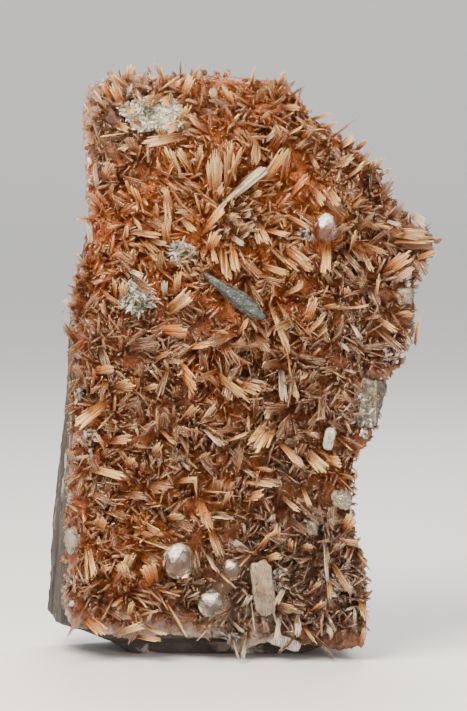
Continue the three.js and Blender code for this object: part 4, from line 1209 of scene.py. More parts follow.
INESITE = inesite_finish("inesite blades", 0.5, 0.4, 0.2, 0.95)
LEADING_INESITE = inesite_finish("leading inesite", 0.78, 0.3, 0.2, 0.44)
FIELD_INESITE = inesite_finish("field inesite", 0.84, 0.3, 0.2, 0.3)
GLASSY_INESITE = inesite_finish("glassy inesite blades", 0.65, 0.3, 0.4, 1)
# The low blades and needles get little or no cream at their tips: painted shade, as they lie low.
LOW_INESITE = inesite_finish("low inesite", 0.82, 0.5, 0.1, 0.3, contrast=0.5, least=0.1)
VALLEY_INESITE = inesite_finish("valley inesite", 0.82, 0.6, 0.0, 0.0, contrast=0.3)
print("finishes:", [material.name for material in bpy.data.materials if "inesite" in material.name])

# %% [markdown]
# The crust is grown in ten clouds: the short blades along the rim, those placed one by one in four
# pieces, the sprays that the solids share, and the layers of the field down to the needles. One
# cloud could hold them all, but each kind has its own forms and its own finish.

# %% Grow the crust
PLACED_GIRTHS = (0.95, 1.1)  # what a blade's width is multiplied by, from least to most
FIELD_GIRTHS = (0.85, 1.15)
LOW_GIRTHS = (0.8, 1.2)
pick = random.Random(5)
CLOUDS = {  # roots, forms, girths, seed, finish
    "rim_blades": (rim_roots(RIM_SEED), SLIM_SHEAVES, FIELD_GIRTHS, 11, FIELD_INESITE),
    "leading_blades": (
        leading_roots(pick, FIELD_LEADERS), BROAD_SHEAVES, PLACED_GIRTHS, 3, LEADING_INESITE,
    ),
    "star_blades": (leading_roots(pick, STAR_LEADERS), BROAD_SHEAVES, PLACED_GIRTHS, 3, INESITE),
    "traced_blades": (
        traced_roots(pick, "cream", "tan", "orange", "mauve"), BROAD_SHEAVES, PLACED_GIRTHS, 9, INESITE,
    ),
    "glassy_blades": (traced_roots(pick, "white"), BROAD_SHEAVES, PLACED_GIRTHS, 10, GLASSY_INESITE),
    "spray_blades": (spray_roots(pick), SLIM_SHEAVES, (0.8, 1.1), 4, FIELD_INESITE),
    "upper_blades": (layer_roots("upper_blades"), SLIM_SHEAVES, FIELD_GIRTHS, 7, FIELD_INESITE),
    "middle_blades": (layer_roots("middle_blades"), SMALL_SHEAVES, LOW_GIRTHS, 6, FIELD_INESITE),
    "low_blades": (layer_roots("low_blades"), LATHS, LOW_GIRTHS, 5, LOW_INESITE),
    "needles": (layer_roots("needles"), NEEDLES, LOW_GIRTHS, 8, VALLEY_INESITE),
}
crust_pieces = [grow(name, *cloud) for name, cloud in CLOUDS.items()]
print("blades in all:", sum(len(cloud[0]) for cloud in CLOUDS.values()))

# %% [markdown]
# Several pieces start as a plain shape that is made into small even squares, and then each corner is
# pushed in or out by noise. A Displace modifier could do that with a texture, but a short Python
# rule can also ask where the corner is and which way it faces.


# %% Even meshes and pushed corners
def remeshed(piece, size):
    """The piece as an even closed mesh of small squares."""
    modifier = piece.modifiers.new("even", "REMESH")
    modifier.mode = "VOXEL"
    modifier.voxel_size = size * MM
    mesh = evaluated_mesh(piece)
    piece.modifiers.clear()
    piece.data = mesh
    return piece


def pushed(piece, push):
    """Moves each corner along its normal by what push says, in millimetres."""
    mesh = piece.data
    count = len(mesh.vertices)
    places = np.empty(count * 3, np.float32)
    mesh.vertices.foreach_get("co", places)
    places = places.reshape(-1, 3)
    facing = np.empty(count * 3, np.float32)
    mesh.vertex_normals.foreach_get("vector", facing)
    facing = facing.reshape(-1, 3)
    amounts = np.array([push(Vector(p) / MM, Vector(n)) for p, n in zip(places, facing)])
    places += facing * amounts[:, None] * MM
    mesh.vertices.foreach_set("co", places.ravel())
    mesh.update()
    return piece


ALL_AXES = {"use_axis_x": True, "use_axis_y": True, "use_axis_z": True}


def worn_round(piece, times):
    """Evens out the facets, as wear does."""
    shape = bmesh.new()
    shape.from_mesh(piece.data)
    for _ in range(times):
        bmesh.ops.smooth_vert(shape, verts=shape.verts, factor=0.5, **ALL_AXES)
    shape.to_mesh(piece.data)
    shape.free()
    return piece


def smooth(piece):
    piece.data.polygons.foreach_set("use_smooth", [True] * len(piece.data.polygons))


print("shapes can be remeshed, pushed, worn round and smoothed")

# %% [markdown]
# The bed is what the blades grow out of: fibres too dense to tell apart. It could be the solid's own
# front, but that is flat. So the outline becomes a closed plate, and its corners are pushed by the
# same swell that the blades stand on. Ribs run in from its edge, where the fibres end.

# %% Crust bed
BED_SQUARES = 0.42  # size of the mesh's squares
BED_IN_ROCK = 0.7  # how far its back goes into the rock, so that no light shows between them
BED_RIBS = (0.5, 0.9, 0.15)  # how far they stand out, how close they are, and how long they run
SIDE_DROP = 0.35  # how far the sides of the bed lie in


def outline_plate(name, outline, near, far):
    """A closed plate with an outline in X and Z, between two depths."""
    count = len(outline)
    corners = [(x * MM, y * MM, z * MM) for y in (near, far) for x, z in outline]
    faces = [tuple(range(count)), tuple(range(2 * count - 1, count - 1, -1))]
    faces += [(k + count, (k + 1) % count + count, (k + 1) % count, k) for k in range(count)]
    mesh = bpy.data.meshes.new(name)
    mesh.from_pydata(corners, [], faces)
    return placed(name, mesh)


def bed_reach(x, z):
    """How far out the bed comes, of the way to the outline: furthest at the foot and the glassy rim."""
    return 1.0 if z < 12 or x < -15 and 70 < z < 93 else 0.975


def bed_push(p, n):
    """Swells the front of the bed into soft lumps, leaves its back flat, and ribs its sides."""
    if n.y > 0.5:
        return 0
    if n.y < -0.5:
        return swell(p.x, p.z)
    height, close, run = BED_RIBS
    ribs = noise.noise(Vector((p.x * close, p.y * run, p.z * close)))
    return 0.5 * swell(p.x, p.z) - SIDE_DROP + height * ribs


bed_outline = [drawn_in(x, z, bed_reach(x, z)) for x, z in CRUST_OUTLINE]
bed_plate = outline_plate("crust_bed", bed_outline, BED_FRONT, BED_BACK + BED_IN_ROCK)
bed = pushed(remeshed(bed_plate, BED_SQUARES), bed_push)
smooth(bed)
print("crust bed:", len(bed.data.polygons), "faces")

# %% [markdown]
# The bed takes its colour from the same zones as the blades, so each corner stores them as shares. It
# also stores how near it is to the edge, for the pale rim that shows at the left and along the foot.

# %% Shares that the bed's colour needs
BED_WARMTH = 0.42  # outside all zones
BED_PALLOR = 0.4


def rim_fade(x, z):
    """The pale rim fades to the top and the right."""
    return min(max((z - 84) / 5, (x - 8) / 6, 0), 1)


bed_places = [vertex.co / MM for vertex in bed.data.vertices]
store(bed.data, "warmth", [held(BED_WARMTH + zone_sum(p.x, p.z, WARM_ZONES)) for p in bed_places])
store(bed.data, "pallor", [BED_PALLOR + zone_sum(p.x, p.z, PALE_ZONES) for p in bed_places])
store(bed.data, "rim", [edge_share(p.x, p.z) - 0.1 * rim_fade(p.x, p.z) for p in bed_places])
print("corners of the bed:", len(bed_places))

# %% [markdown]
# Between the blades the bed is deep orange to brown, streaked by its fibres. Its upper half has a
# painted glow: a brighter orange that stands in for light coming back out of it. One strong bump gives
# the fibres their depth.


# %% Bed finish
def bed_colour(paint, fibres, cloud):
    warmth, pallor = paint.attribute("warmth"), paint.attribute("pallor")
    low = paint.mix(warmth, (0.15, 0.07, 0.04), (0.5, 0.12, 0.03))
    high = paint.mix(warmth, (0.36, 0.19, 0.115), (0.78, 0.23, 0.055))
    colour = paint.mix(paint.spread(fibres * 0.6 + cloud * 0.4, 0.4, 0.62), low, high)
    beige = paint.spread(pallor + (fibres - 0.5) * 0.5, 0.5, 0.8, 0, 0.8)
    colour = paint.mix(beige, colour, (0.5, 0.35, 0.27))
    # Painted glow: a brighter orange in the warm upper half, for light that comes back out of the bed.
    glow = paint.mix(paint.spread(fibres, 0.42, 0.6), (0.42, 0.085, 0.02), (0.95, 0.36, 0.1))
    colour = paint.mix(paint.spread(paint.axis(2), 52, 66, 0, 0.8) * warmth, colour, glow)
    return paint.mix(paint.spread(pallor, -0.15, 0.2, 0.65, 0), colour, (0.16, 0.06, 0.03))


def bed_finish():
    """Deep orange to brown masses, with a paler glassy rim."""
    paint = Paint("crust bed")
    fibres = paint.noise(paint.place((1.4, 0.35, 1.4)), 1.0, detail=6, roughness=0.7)
    cloud = paint.noise(paint.place(), 0.3, detail=3)
    rim = paint.spread(paint.attribute("rim") + (cloud - 0.5) * 0.16, 0.93, 0.985, 0, 0.8)
    pale = paint.mix(paint.spread(fibres, 0.35, 0.65), (0.36, 0.28, 0.25), (0.78, 0.68, 0.62))
    return paint.surface({
        "Base Color": paint.mix(rim, bed_colour(paint, fibres, cloud), pale),
        "Roughness": paint.spread(fibres, 0.3, 0.7, 0.25, 0.5),
        "Normal": paint.bump(fibres, 1.0, 1.3 * MM), "IOR": 1.5, "Transmission Weight": 0.4,
        "Subsurface Weight": 0.5, "Subsurface Radius": (1.0, 0.45, 0.2), "Subsurface Scale": 0.8 * MM,
    })


bed.data.materials.append(bed_finish())
print("finish of the bed:", bed.data.materials[0].name)

# %% [markdown]
# The rock is a stack of thin beds that runs parallel to the crust, so its broken sides show fine
# ledges and its back broke off in flat flakes. The solid has the large steps. Here a copy of it is
# made into small even squares, and each corner is moved a little by noise that is long in the beds
# and short across them.

# %% Rock slab
ROCK_SQUARES = 0.5  # size of the mesh's squares
FLAKE = 0.9  # thickness of a flake at the back
FLAKE_STEP = 0.5
LEDGES = (0.42, 1.5)  # how far they stand out, and how close they are
THIN_LEDGES = (0.22, 4.2)


def copy_of(node_name, name):
    """A merged copy of a solid's mesh, to be shaped further."""
    mesh = frame["nodes"][node_name].data.copy()
    mesh.name = name
    mesh.materials.clear()
    shape = bmesh.new()
    shape.from_mesh(mesh)
    bmesh.ops.remove_doubles(shape, verts=shape.verts, dist=0.001 * MM)
    shape.to_mesh(mesh)
    shape.free()
    return placed(name, mesh)


def layered(p, across, along):
    """Noise with thin flat layers parallel to the crust."""
    return noise.noise(Vector((p.x * along, p.y * across, p.z * along)))


def rock_push(p, n):
    """Flat under the foot, close to the crust at the front, flaked at the back, ledges at the sides."""
    rough = 0.16 * noise.noise(p * 0.8) + 0.08 * noise.noise(p * 2.3)
    if n.z < -0.7 and p.z < 0.6:
        return 0
    if n.y < -0.6:
        return min(rough, 0) - 0.02
    if n.y > 0.6:
        tilted = p.y + 0.9 * noise.noise(p * 0.09) + 0.25 * noise.noise(p * 0.4)
        flake = tilted / FLAKE - math.floor(tilted / FLAKE)
        return rough - FLAKE_STEP * min(flake * 4, 1) * (1 - flake)
    ledges = LEDGES[0] * layered(p, LEDGES[1], 0.04)
    return rough + ledges + THIN_LEDGES[0] * layered(p, THIN_LEDGES[1], 0.1) - 0.1


rock = pushed(remeshed(copy_of("rock", "rock_slab"), ROCK_SQUARES), rock_push)
print("rock slab:", len(rock.data.polygons), "faces")

# %% [markdown]
# The rock is a dull dark brown with paler veins that follow its beds, and a rusty stain here and
# there. Its colours are also darkened as painted shade, so that its sides and foot read as in shadow.
# Noise that is squeezed across the beds draws veins and stain, so the streaks turn the corners with them.


# %% Rock finish
def rock_finish():
    paint = Paint("rock")
    grain = paint.noise(paint.place(), 1.6, detail=6, roughness=0.7)
    layers = paint.noise(paint.place((0.05, 1.3, 0.03)), 1.0, detail=5, roughness=0.7)
    veins = paint.noise(paint.place((0.06, 2.2, 0.025)), 1.0, detail=4, roughness=0.6)
    stain = paint.noise(paint.place(), 0.13, detail=4, roughness=0.6)
    # The dark base colours are partly the rock's own and partly painted shade.
    colour = paint.mix(paint.spread(layers, 0.36, 0.62), (0.01, 0.008, 0.007), (0.048, 0.037, 0.03))
    colour = paint.mix(paint.spread(grain, 0.5, 0.8, 0, 0.4), colour, (0.13, 0.105, 0.09))
    colour = paint.mix(paint.spread(veins, 0.58, 0.66, 0, 0.8), colour, (0.30, 0.26, 0.225))
    colour = paint.mix(paint.spread(stain, 0.58, 0.68, 0, 0.5), colour, (0.07, 0.035, 0.02))
    return paint.surface({
        "Base Color": colour, "Roughness": paint.spread(grain, 0.3, 0.7, 0.5, 0.8),
        "Normal": paint.bump(layers + grain * 0.6, 0.6, 0.3 * MM),
    })


rock.data.materials.append(rock_finish())
print("finish of the slab:", rock.data.materials[0].name)

# %% [markdown]
# The dark spindle lies across the middle. It is a dull grey crystal with long flat sides, a thin
# tail and a blunt facetted head, and its skin is pitted and dusted with paler specks. The solid has
# its shape already, so only the skin is made here.

# %% Dark spindle
SPINDLE_SQUARES = 0.16


def pitted(p, n):
    return 0.09 * noise.noise(p * 1.6) + 0.05 * noise.noise(p * 4.5)


def spindle_finish():
    paint = Paint("dark spindle")
    grain = paint.noise(paint.place(), 2.6, detail=5, roughness=0.7)
    specks = paint.noise(paint.place(), 3.4, detail=2)
    patches = paint.noise(paint.place(), 0.5, detail=2)
    colour = paint.mix(paint.spread(grain, 0.35, 0.65), (0.018, 0.022, 0.024), (0.065, 0.07, 0.07))
    green = paint.spread(patches, 0.5, 0.65, 0, 0.55)
    colour = paint.mix(green, colour, (0.075, 0.1, 0.08))
    dust = paint.spread(specks, 0.6, 0.7, 0, 0.6)
    return paint.surface({
        "Base Color": paint.mix(dust, colour, (0.34, 0.35, 0.32)), "Metallic": 0.35,
        "Roughness": paint.spread(grain, 0.3, 0.7, 0.3, 0.55), "Normal": paint.bump(grain, 0.5, 0.15 * MM),
    })


spindle = pushed(remeshed(copy_of("dark_spindle", "dark_spindle_skin"), SPINDLE_SQUARES), pitted)
spindle.data.materials.append(spindle_finish())
print("dark spindle:", len(spindle.data.polygons), "faces")

# %% [markdown]
# Apophyllite is clear as glass, and here each crystal is rounded and has a painted highlight: a milky
# white patch on the side that faces up and left, towards the key light. The solids are faceted, so
# copies of them are worn round. Each corner stores how far it faces that side. A shader could ask the
# surface's normal instead, but a stored share is plain to see in the viewport, and it can be painted
# over by hand.

# %% Apophyllite
HIGHLIGHT_SIDE = Vector((-0.25, -0.78, 0.58))
APOPHYLLITE_SQUARES = 0.22


def rounded(node_name, name, size, bumps):
    return pushed(remeshed(copy_of(node_name, name), size), bumps)


def uneven(p, n):
    return 0.25 * noise.noise(p * 0.6) + 0.08 * noise.noise(p * 1.9)


def apophyllite(node_name):
    """One worn clear crystal, with the share of its painted highlight stored."""
    clear = worn_round(rounded(node_name, node_name + "_crystal", APOPHYLLITE_SQUARES, uneven), 10)
    smooth(clear)
    store(clear.data, "etched", [max(v.normal.dot(HIGHLIGHT_SIDE), 0) for v in clear.data.vertices])
    return clear


apophyllites = [apophyllite(node_name) for node_name in APOPHYLLITES]
print("faces of the apophyllites:", [len(clear.data.polygons) for clear in apophyllites])

# %% [markdown]
# The finish is two shaders, plain clear glass and a painted highlight: a milky white patch. One shader
# with a mask on its transmission would look alike, but only a Mix Shader's factor may change over a
# surface here.

# %% Apophyllite finish
APOPHYLLITE_IOR = 1.535


def apophyllite_finish():
    paint = Paint("clear apophyllite")
    frost = paint.noise(paint.place(), 1.9, detail=6, roughness=0.75)
    soft = paint.noise(paint.place(), 0.5, detail=2)
    # Painted highlight: the milky white patch on the side that faces the key light, up and left.
    highlight_mask = paint.spread(paint.attribute("etched") + (frost - 0.5) * 0.9, 0.78, 1.08, 0, 0.92)
    clear = paint.shader({
        "Base Color": paint.mix(paint.spread(soft, 0.35, 0.65), (0.72, 0.6, 0.44), (0.93, 0.88, 0.78)),
        "Roughness": 0.08, "IOR": APOPHYLLITE_IOR, "Transmission Weight": 1.0,
        "Normal": paint.bump(frost, 0.25, 0.15 * MM),
    })
    milky = paint.shader({
        "Base Color": (0.93, 0.92, 0.89), "Roughness": 0.3, "IOR": APOPHYLLITE_IOR,
        "Transmission Weight": 0.25, "Normal": paint.bump(frost, 0.7, 0.25 * MM),
        "Subsurface Weight": 0.5, "Subsurface Radius": (1.0, 1.0, 1.0), "Subsurface Scale": 1.2 * MM,
    })
    return paint.finish(paint.node("ShaderNodeMixShader", {}, {0: highlight_mask, 1: clear, 2: milky}))


APOPHYLLITE = apophyllite_finish()
for clear in apophyllites:
    clear.data.materials.append(APOPHYLLITE)
print("clear crystals:", len(apophyllites))

# %% [markdown]
# The quartz lumps along the edges have a few worn flat faces. The tablet and the prism have fine
# lines along them, and the pale slab is split lengthwise, like a crystal made of leaves. All are
# copies of their solids, each with its own rule for its corners.

# %% Quartz and the pale crystals
QUARTZ_NODES = [*QUARTZES, "quartz_plate"]
TABLET_NODES = ("white_tablet", "white_prism")
facet_pick = random.Random(12)
FACET_WAYS = [Vector([facet_pick.gauss(0, 1) for _ in range(3)]).normalized() for _ in range(16)]
FACET_FROM = 0.78  # how closely a corner has to face one of these ways to be worn flat


def lined(p, n):
    return 0.07 * noise.noise(Vector((p.x * 2.2, p.y * 2.2, p.z * 0.35))) + 0.05 * noise.noise(p * 1.5)


def leafy(p, n):
    return 0.45 * noise.noise(Vector((p.x * 1.1, p.y * 1.1, p.z * 0.22))) + 0.2 * noise.noise(p * 1.1) - 0.1


def worn(p, n):
    """Uneven, with flat places where the lump faces one of a few ways."""
    flat = max(n.dot(way) for way in FACET_WAYS)
    return 0.3 * noise.noise(p * 0.6) + 0.15 * noise.noise(p * 1.8) - 2.2 * max(flat - FACET_FROM, 0)


quartzes = [rounded(name, name + "_lump", 0.2, worn) for name in QUARTZ_NODES]
tablets = [rounded(name, name + "_faces", 0.16, lined) for name in TABLET_NODES]
slab = worn_round(rounded("calcite_blade", "calcite_blade_faces", 0.16, leafy), 3)
print("quartz pieces:", len(quartzes), "and flat crystals:", len(tablets))

# %% [markdown]
# The quartz is milky and grey, and half clear. Its plate is clearer: it sparkles left of an inner edge
# and is dark and brown right of it, and a painted highlight, a bright line, runs along that edge.

# %% Quartz finishes
QUARTZ_IOR = 1.55
# The bright line along the edge at this X is a painted highlight.
PLATE_EDGE = 26.1  # X of the bright edge


def quartz_finish():
    paint = Paint("milky quartz")
    cloud = paint.noise(paint.place(), 0.8, detail=5, roughness=0.65)
    lines = paint.noise(paint.place((2.4, 1, 0.5)), 1.0, detail=4)
    milk = paint.spread(cloud * 0.6 + lines * 0.4, 0.4, 0.6)
    return paint.surface({
        "Base Color": paint.mix(milk, (0.3, 0.24, 0.18), (0.64, 0.56, 0.45)),
        "Roughness": paint.spread(cloud, 0.3, 0.7, 0.1, 0.35), "IOR": QUARTZ_IOR,
        "Transmission Weight": 0.7, "Normal": paint.bump(cloud + lines, 0.4, 0.3 * MM),
    })


def plate_finish():
    """Grey glass with a painted highlight along an inner edge, and brown glass to the right of it."""
    paint = Paint("clear quartz")
    cloud = paint.noise(paint.place(), 0.9, detail=5, roughness=0.7)
    off = paint.axis(0) - PLATE_EDGE + (cloud - 0.5) * 0.5
    colour = paint.mix(paint.spread(cloud, 0.4, 0.62), (0.1, 0.075, 0.05), (0.44, 0.38, 0.28))
    colour = paint.mix(paint.spread(off, 0, 0.3, 0, 0.9), colour, (0.08, 0.05, 0.033))
    # Painted highlight: a pale line along the edge.
    edge = paint.spread(paint.maths("ABSOLUTE", off), 0.08, 0.2, 0.7, 0)
    return paint.surface({
        "Base Color": paint.mix(edge, colour, (0.66, 0.62, 0.53)), "Roughness": 0.15,
        "IOR": QUARTZ_IOR, "Transmission Weight": 0.7, "Normal": paint.bump(cloud, 0.7, 0.4 * MM),
    })


QUARTZ = quartz_finish()
PLATE = plate_finish()
for piece in quartzes:
    smooth(piece)
    piece.data.materials.append(PLATE if piece.name.startswith("quartz_plate") else QUARTZ)
print("bright edge of the plate at X:", PLATE_EDGE)

# %% [markdown]
# The slab, the tablet and the prism let light in a little way, so they look soft rather than glassy.
# One finish with two colours and a clearness serves them all.


# %% Pale finishes
def pale_finish(name, low, high, clear):
    paint = Paint(name)
    lines = paint.noise(paint.place((2.6, 2.6, 0.4)), 1.0, detail=4, roughness=0.65)
    return paint.surface({
        "Base Color": paint.mix(paint.spread(lines, 0.35, 0.65), low, high),
        "Roughness": paint.spread(lines, 0.3, 0.7, 0.18, 0.45), "IOR": 1.55,
        "Transmission Weight": clear, "Normal": paint.bump(lines, 0.5, 0.12 * MM),
        "Subsurface Weight": 0.35, "Subsurface Radius": (1.0, 0.8, 0.65), "Subsurface Scale": 0.8 * MM,
    })


WHITE = pale_finish("white crystal", (0.32, 0.31, 0.26), (0.62, 0.6, 0.54), 0.4)
PINKISH = pale_finish("pale calcite", (0.46, 0.34, 0.24), (0.7, 0.55, 0.41), 0.7)
for piece in tablets:
    piece.data.materials.append(WHITE)
slab.data.materials.append(PINKISH)
print("pale finishes:", WHITE.name, "and", PINKISH.name)

# %% [markdown]
# A druse is a mound of tiny crystal points. The tree that grows the blades can grow these too: it only
# needs other forms, short six-sided prisms that end in a point.


# %% Forms of a point
def point_form(name, seed):
    """A six-sided prism with a point, one unit long and wide."""
    pick = random.Random(seed)
    sides = 6
    corners = []
    for height, wide in ((0, 0.8), (pick.uniform(0.5, 0.7), 1)):
        for k in range(sides):
            angle = math.tau * k / sides
            stretch = wide * pick.uniform(0.85, 1) * 0.5
            corners.append((stretch * math.cos(angle), stretch * math.sin(angle), height))
    corners.append((pick.uniform(-0.1, 0.1), pick.uniform(-0.1, 0.1), 1))
    faces = lath_faces(sides, 0)[:-1]
    faces += [(sides + k, sides + (k + 1) % sides, 2 * sides) for k in range(sides)]
    mesh = bpy.data.meshes.new(name)
    mesh.from_pydata(corners, [], faces)
    return bpy.data.objects.new(name, mesh)


POINTS = bpy.data.collections.new("point")
for k in range(5):
    POINTS.objects.link(point_form(f"point {k}", 90 + k))

# %% [markdown]
# The points of a druse stand on every side of its mound. Turning by the golden angle from one to the
# next, as the seeds of a sunflower do, spreads them evenly, and noise makes the mound ragged.

# %% Points of a druse
GOLDEN_ANGLE = 2.399963
POINT_STEP = 0.5  # millimetres from one point to the next, about


def druse_roots(seed, spot, girths, lengths):
    """Points all over a low uneven mound."""
    pick = random.Random(seed)
    x, z, off, half = spot
    rows = []
    count = int(6 * half[0] * half[2] / POINT_STEP ** 2)
    for k in range(count):
        out = math.sqrt((k + 0.5) / count)
        turn = GOLDEN_ANGLE * k
        ragged = 1.1 + 0.45 * noise.noise(Vector((math.cos(turn) * 1.3, math.sin(turn) * 1.3, seed)))
        way = Vector((out * math.cos(turn), -math.sqrt(max(1 - out * out, 0)), out * math.sin(turn)))
        low = 0.75 + 0.5 * noise.noise(Vector((way.x * 2.2, way.z * 2.2, seed + 5)))
        place = Vector((
            x + ragged * half[0] * way.x, BED_FRONT - off - 0.4 + low * half[1] * way.y,
            z + ragged * half[2] * way.z,
        ))
        lean = Vector((0.6 * way.x + pick.gauss(0, 0.7), -0.8, 0.6 * way.z + pick.gauss(0, 0.7))).normalized()
        tip = place + lean * pick.uniform(*lengths)
        rows.append(root_row(pick, tuple(place - lean * 0.5), tuple(tip), pick.uniform(*girths)))
    return rows


print("druses:", len(DRUSES), "with a point about every", POINT_STEP, "mm")

# %% [markdown]
# Each druse is white to grey with a dark green spot, which looks like moss-like chlorite. The mound
# between the points has the same finish, and stores a tone of its own.


# %% Druses
def druse_finish(name, low, spot, spot_size):
    """Pale points with a dark green spot."""
    paint = Paint(name)
    moss = paint.noise(paint.place(), 0.9, detail=5, roughness=0.7)
    sockets = {0: paint.place((1, 0, 1)), 1: (spot[0], 0, spot[1])}
    off = paint.node("ShaderNodeVectorMath", {"operation": "DISTANCE"}, sockets, out=1)
    green = paint.spread(off + (moss - 0.5) * 2.5, 0.4 * spot_size, 1.2 * spot_size, 0.85, 0)
    colour = paint.mix(paint.attribute("tone"), low, (0.88, 0.82, 0.71))
    return paint.surface({
        "Base Color": paint.mix(green, colour, (0.085, 0.1, 0.06)), "Roughness": 0.3, "IOR": 1.55,
        "Transmission Weight": 0.3,
        "Subsurface Weight": 0.3, "Subsurface Radius": (1.0, 1.0, 0.8), "Subsurface Scale": 0.5 * MM,
    })


def druse_mound(name):
    mound = worn_round(rounded(name, name + "_mound", 0.25, worn), 2)
    smooth(mound)
    tone = DRUSE_LOOKS[name][1]
    store(mound.data, "tone", [tone + 0.3 * noise.noise(v.co / MM * 1.2) for v in mound.data.vertices])
    return mound


def druse_points(name, seed):
    """Plants the points and gives them and their mound one finish."""
    low, _, spot, size, girths, lengths = DRUSE_LOOKS[name]
    finish = druse_finish(name + " finish", low, spot, size)
    mounds[name].data.materials.append(finish)
    roots = druse_roots(seed, DRUSES[name], girths, lengths)
    return grow(name + "_points", roots, POINTS, LOW_GIRTHS, seed, finish)


DRUSE_LOOKS = {  # darkest colour, tone of the mound, green spot, its size, girth and length of the points
    "druse_top": ((0.36, 0.33, 0.26), 0.7, (-10.1, 88.3), 1.3, (0.45, 1.0), (0.3, 1.0)),
    "druse_left": ((0.06, 0.06, 0.045), 0.3, (-11.3, 57.6), 1.3, (0.25, 0.5), (0.6, 1.7)),
    "druse_middle": ((0.05, 0.052, 0.04), 0.15, (-4.4, 65.4), 1.5, (0.25, 0.5), (0.6, 1.7)),
}
mounds = {name: druse_mound(name) for name in DRUSES}
druses = {name: druse_points(name, 60 + k) for k, name in enumerate(DRUSES)}

# %% [markdown]
# Grey glassy quartz also shows in small patches of points: down the left edge, along the foot, and
# between the blades at the right. The same points are planted there, close to the bed.

# %% Quartz bits
BITS_SHARE = 0.97  # how far out they stay, of the way to the outline
BITS_PER_AREA = 4.2  # to a square millimetre
BIT_LENGTHS = (0.6, 1.7)
BIT_WIDTHS = (0.35, 0.9)
QUARTZ_PATCHES = [  # X, Z, half width, half height
    (-19.8, 35.6, 1.2, 1.9), (-21.7, 43.5, 0.8, 1.6), (-22.3, 49.4, 0.6, 1.6), (-23, 7, 1.1, 2.3),
    (-23.3, 13, 0.5, 3.2), (24.3, 40, 1.5, 3.8), (22, 25.8, 1.9, 1.5), (16.5, 22.3, 1.2, 1.7),
    (15.2, 68.6, 1.1, 1.4), (-19.9, 79, 0.6, 2.2), (10.9, 13, 1, 2.2), (-18, 4.6, 3.4, 0.6),
    (-8, 4.2, 5, 0.6), (1, 4, 3.5, 0.7), (-20.2, 70, 0.5, 3), (20.6, 12.4, 1.4, 2.4), (28.6, 50, 1.2, 1.8),
    (22.8, 21.6, 0.8, 1.4), (30.4, 61.6, 1.4, 1.2),
]


def bit_roots(seed):
    """Points that lean out of each patch, where they stay inside the outline."""
    pick = random.Random(seed)
    rows = []
    for x, z, half_x, half_z in QUARTZ_PATCHES:
        for _ in range(int(BITS_PER_AREA * math.pi * half_x * half_z) + 4):
            out, turn = math.sqrt(pick.random()), pick.uniform(0, math.tau)
            depth = BED_FRONT - pick.uniform(-0.2, 1.4)
            root = Vector((x + out * half_x * math.cos(turn), depth, z + out * half_z * math.sin(turn)))
            way = Vector((pick.gauss(0, 0.8), -0.7, pick.gauss(0, 0.8))).normalized()
            tip = root + way * pick.uniform(*BIT_LENGTHS)
            if max(edge_share(root.x, root.z), edge_share(tip.x, tip.z)) < BITS_SHARE:
                rows.append(root_row(pick, tuple(root), tuple(tip), pick.uniform(*BIT_WIDTHS)))
    return rows


def bits_finish():
    paint = Paint("grey quartz")
    stops = [(0, (0.1, 0.085, 0.075)), (0.45, (0.5, 0.46, 0.42)), (1, (0.92, 0.88, 0.83))]
    colour = paint.ramp(paint.attribute("tone"), stops)
    sockets = {"Base Color": colour, "Roughness": 0.1, "IOR": QUARTZ_IOR, "Transmission Weight": 0.6}
    return paint.surface(sockets)


bits = grow("quartz_bits", bit_roots(77), POINTS, LOW_GIRTHS, 77, bits_finish())

# %% [markdown]
# The specimen stands on a plain pale floor that curves up behind. The curve hides the line between
# floor and wall, as the paper sweep of a photo studio does.

# %% Stage, in metres
FLOOR_WIDE = 2.5  # half its width
FLOOR_NEAR = -1.6
FLOOR_BACK = 1.1
FLOOR_BEND = 0.5  # radius of the curve
FLOOR_TALL = 1.8
BEND_STEPS = 12


def floor_sweep():
    """A pale floor that curves up into a back wall."""
    line = [(FLOOR_NEAR, 0), (FLOOR_BACK, 0)]
    for k in range(1, BEND_STEPS + 1):
        angle = k * math.pi / (2 * BEND_STEPS)
        line.append((FLOOR_BACK + FLOOR_BEND * math.sin(angle), FLOOR_BEND - FLOOR_BEND * math.cos(angle)))
    line.append((FLOOR_BACK + FLOOR_BEND, FLOOR_TALL))
    corners = [(side * FLOOR_WIDE, y, z) for y, z in line for side in (-1, 1)]
    faces = [(2 * k, 2 * k + 1, 2 * k + 3, 2 * k + 2) for k in range(len(line) - 1)]
    mesh = bpy.data.meshes.new("floor")
    mesh.from_pydata(corners, [], faces)
    floor = placed("floor", mesh)
    smooth(floor)
    mesh.materials.append(Paint("floor").surface({"Base Color": (0.6, 0.6, 0.61), "Roughness": 0.6}))
    return floor


floor = floor_sweep()
print("strips of the floor:", len(floor.data.polygons))

# %% [markdown]
# A small warm light stands close at the upper left, as the photo's shadows say. A larger one fills
# from the right, one shines down from behind so that it comes through the blades, and a strong one
# lights the wall. The world's even light keeps the gaps between the blades from going black.


# %% Lights, in metres and watts
def softbox(name, place, size, power, colour=(1, 1, 1), aim=(0, 0, 0.05)):
    """A square light that looks at the middle of the specimen, or at another place."""
    light = bpy.data.lights.new(name, "AREA")
    light.size = size
    light.energy = power
    light.color = colour
    lamp = placed(name, light)
    lamp.location = place
    lamp.rotation_euler = (Vector(aim) - Vector(place)).to_track_quat("-Z", "Y").to_euler()


softbox("key", (-0.1, -0.14, 0.23), 0.16, 2.6, (1.0, 0.9, 0.74))
softbox("fill", (0.3, -0.4, 0.15), 0.35, 2.8, (1.0, 0.93, 0.82))
softbox("top", (0.05, 0.2, 0.4), 0.2, 2.4, (1.0, 0.94, 0.86))
softbox("wall", (0, 0.9, 1.3), 0.8, 10, aim=(0, 1.6, 0.4))

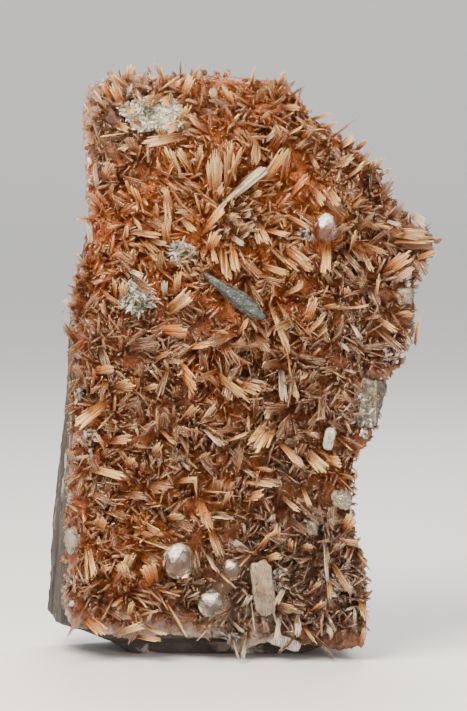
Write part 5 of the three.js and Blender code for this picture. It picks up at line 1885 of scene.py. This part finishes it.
world = bpy.data.worlds.new("studio")
world.use_nodes = True
background = world.node_tree.nodes["Background"].inputs
background["Color"].default_value = (0.96, 0.92, 0.87, 1)
background["Strength"].default_value = 0.68
bpy.context.scene.world = world
print("lights:", len(bpy.data.lights))

# %% [markdown]
# The photo looks at the crust straight on, from a little above and from far away. One pixel is 0.16
# mm at the crust, and the middle of the picture falls a little right of the heart of the slab.

# %% Camera
MM_PER_PIXEL = 0.16
PICTURE_TALL = 711
CAMERA_RISE = math.radians(5)
CAMERA_AWAY = 0.6  # metres
SENSOR_TALL = 36
look_at = Vector((3.44, -12, 49.2)) * MM
camera_data = bpy.data.cameras.new("camera")
camera_data.sensor_fit = "VERTICAL"
camera_data.sensor_height = SENSOR_TALL
camera_data.lens = SENSOR_TALL * CAMERA_AWAY / (MM_PER_PIXEL * PICTURE_TALL * MM)
camera_data.clip_start = 0.01
camera = placed("camera", camera_data)
camera.location = look_at + CAMERA_AWAY * Vector((0, -math.cos(CAMERA_RISE), math.sin(CAMERA_RISE)))
camera.rotation_euler = (look_at - camera.location).to_track_quat("-Z", "Y").to_euler()
bpy.context.scene.camera = camera
print("lens, in mm:", round(camera_data.lens))

# %% [markdown]
# The specimen is one rigid body, so every piece rides on its root. Each piece stands for the solids
# that it covers, which are hidden, so that no plain solid shows.


# %% Put the pieces on the body
def settle(piece, slot, *nodes):
    """Makes a piece ride on the specimen and stand for its solids."""
    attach(piece, "root")
    if nodes:
        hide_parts(*nodes)


for piece in crust_pieces:
    settle(piece, "inesite")
settle(bed, "inesite", "inesite_crust")
settle(rock, "rock", "rock")
settle(spindle, "dark_mineral", "dark_spindle")
for clear, node_name in zip(apophyllites, APOPHYLLITES):
    settle(clear, "apophyllite", node_name)
for piece, node_name in zip(quartzes, QUARTZ_NODES):
    settle(piece, "quartz", node_name)
for piece, node_name in zip(tablets, TABLET_NODES):
    settle(piece, "white_mineral", node_name)
settle(slab, "calcite", "calcite_blade")
settle(bits, "quartz")
for node_name, mound in mounds.items():
    settle(mound, "white_mineral", node_name)
    settle(druses[node_name], "white_mineral")
print("pieces of the crust:", len(crust_pieces))

# %% [markdown]
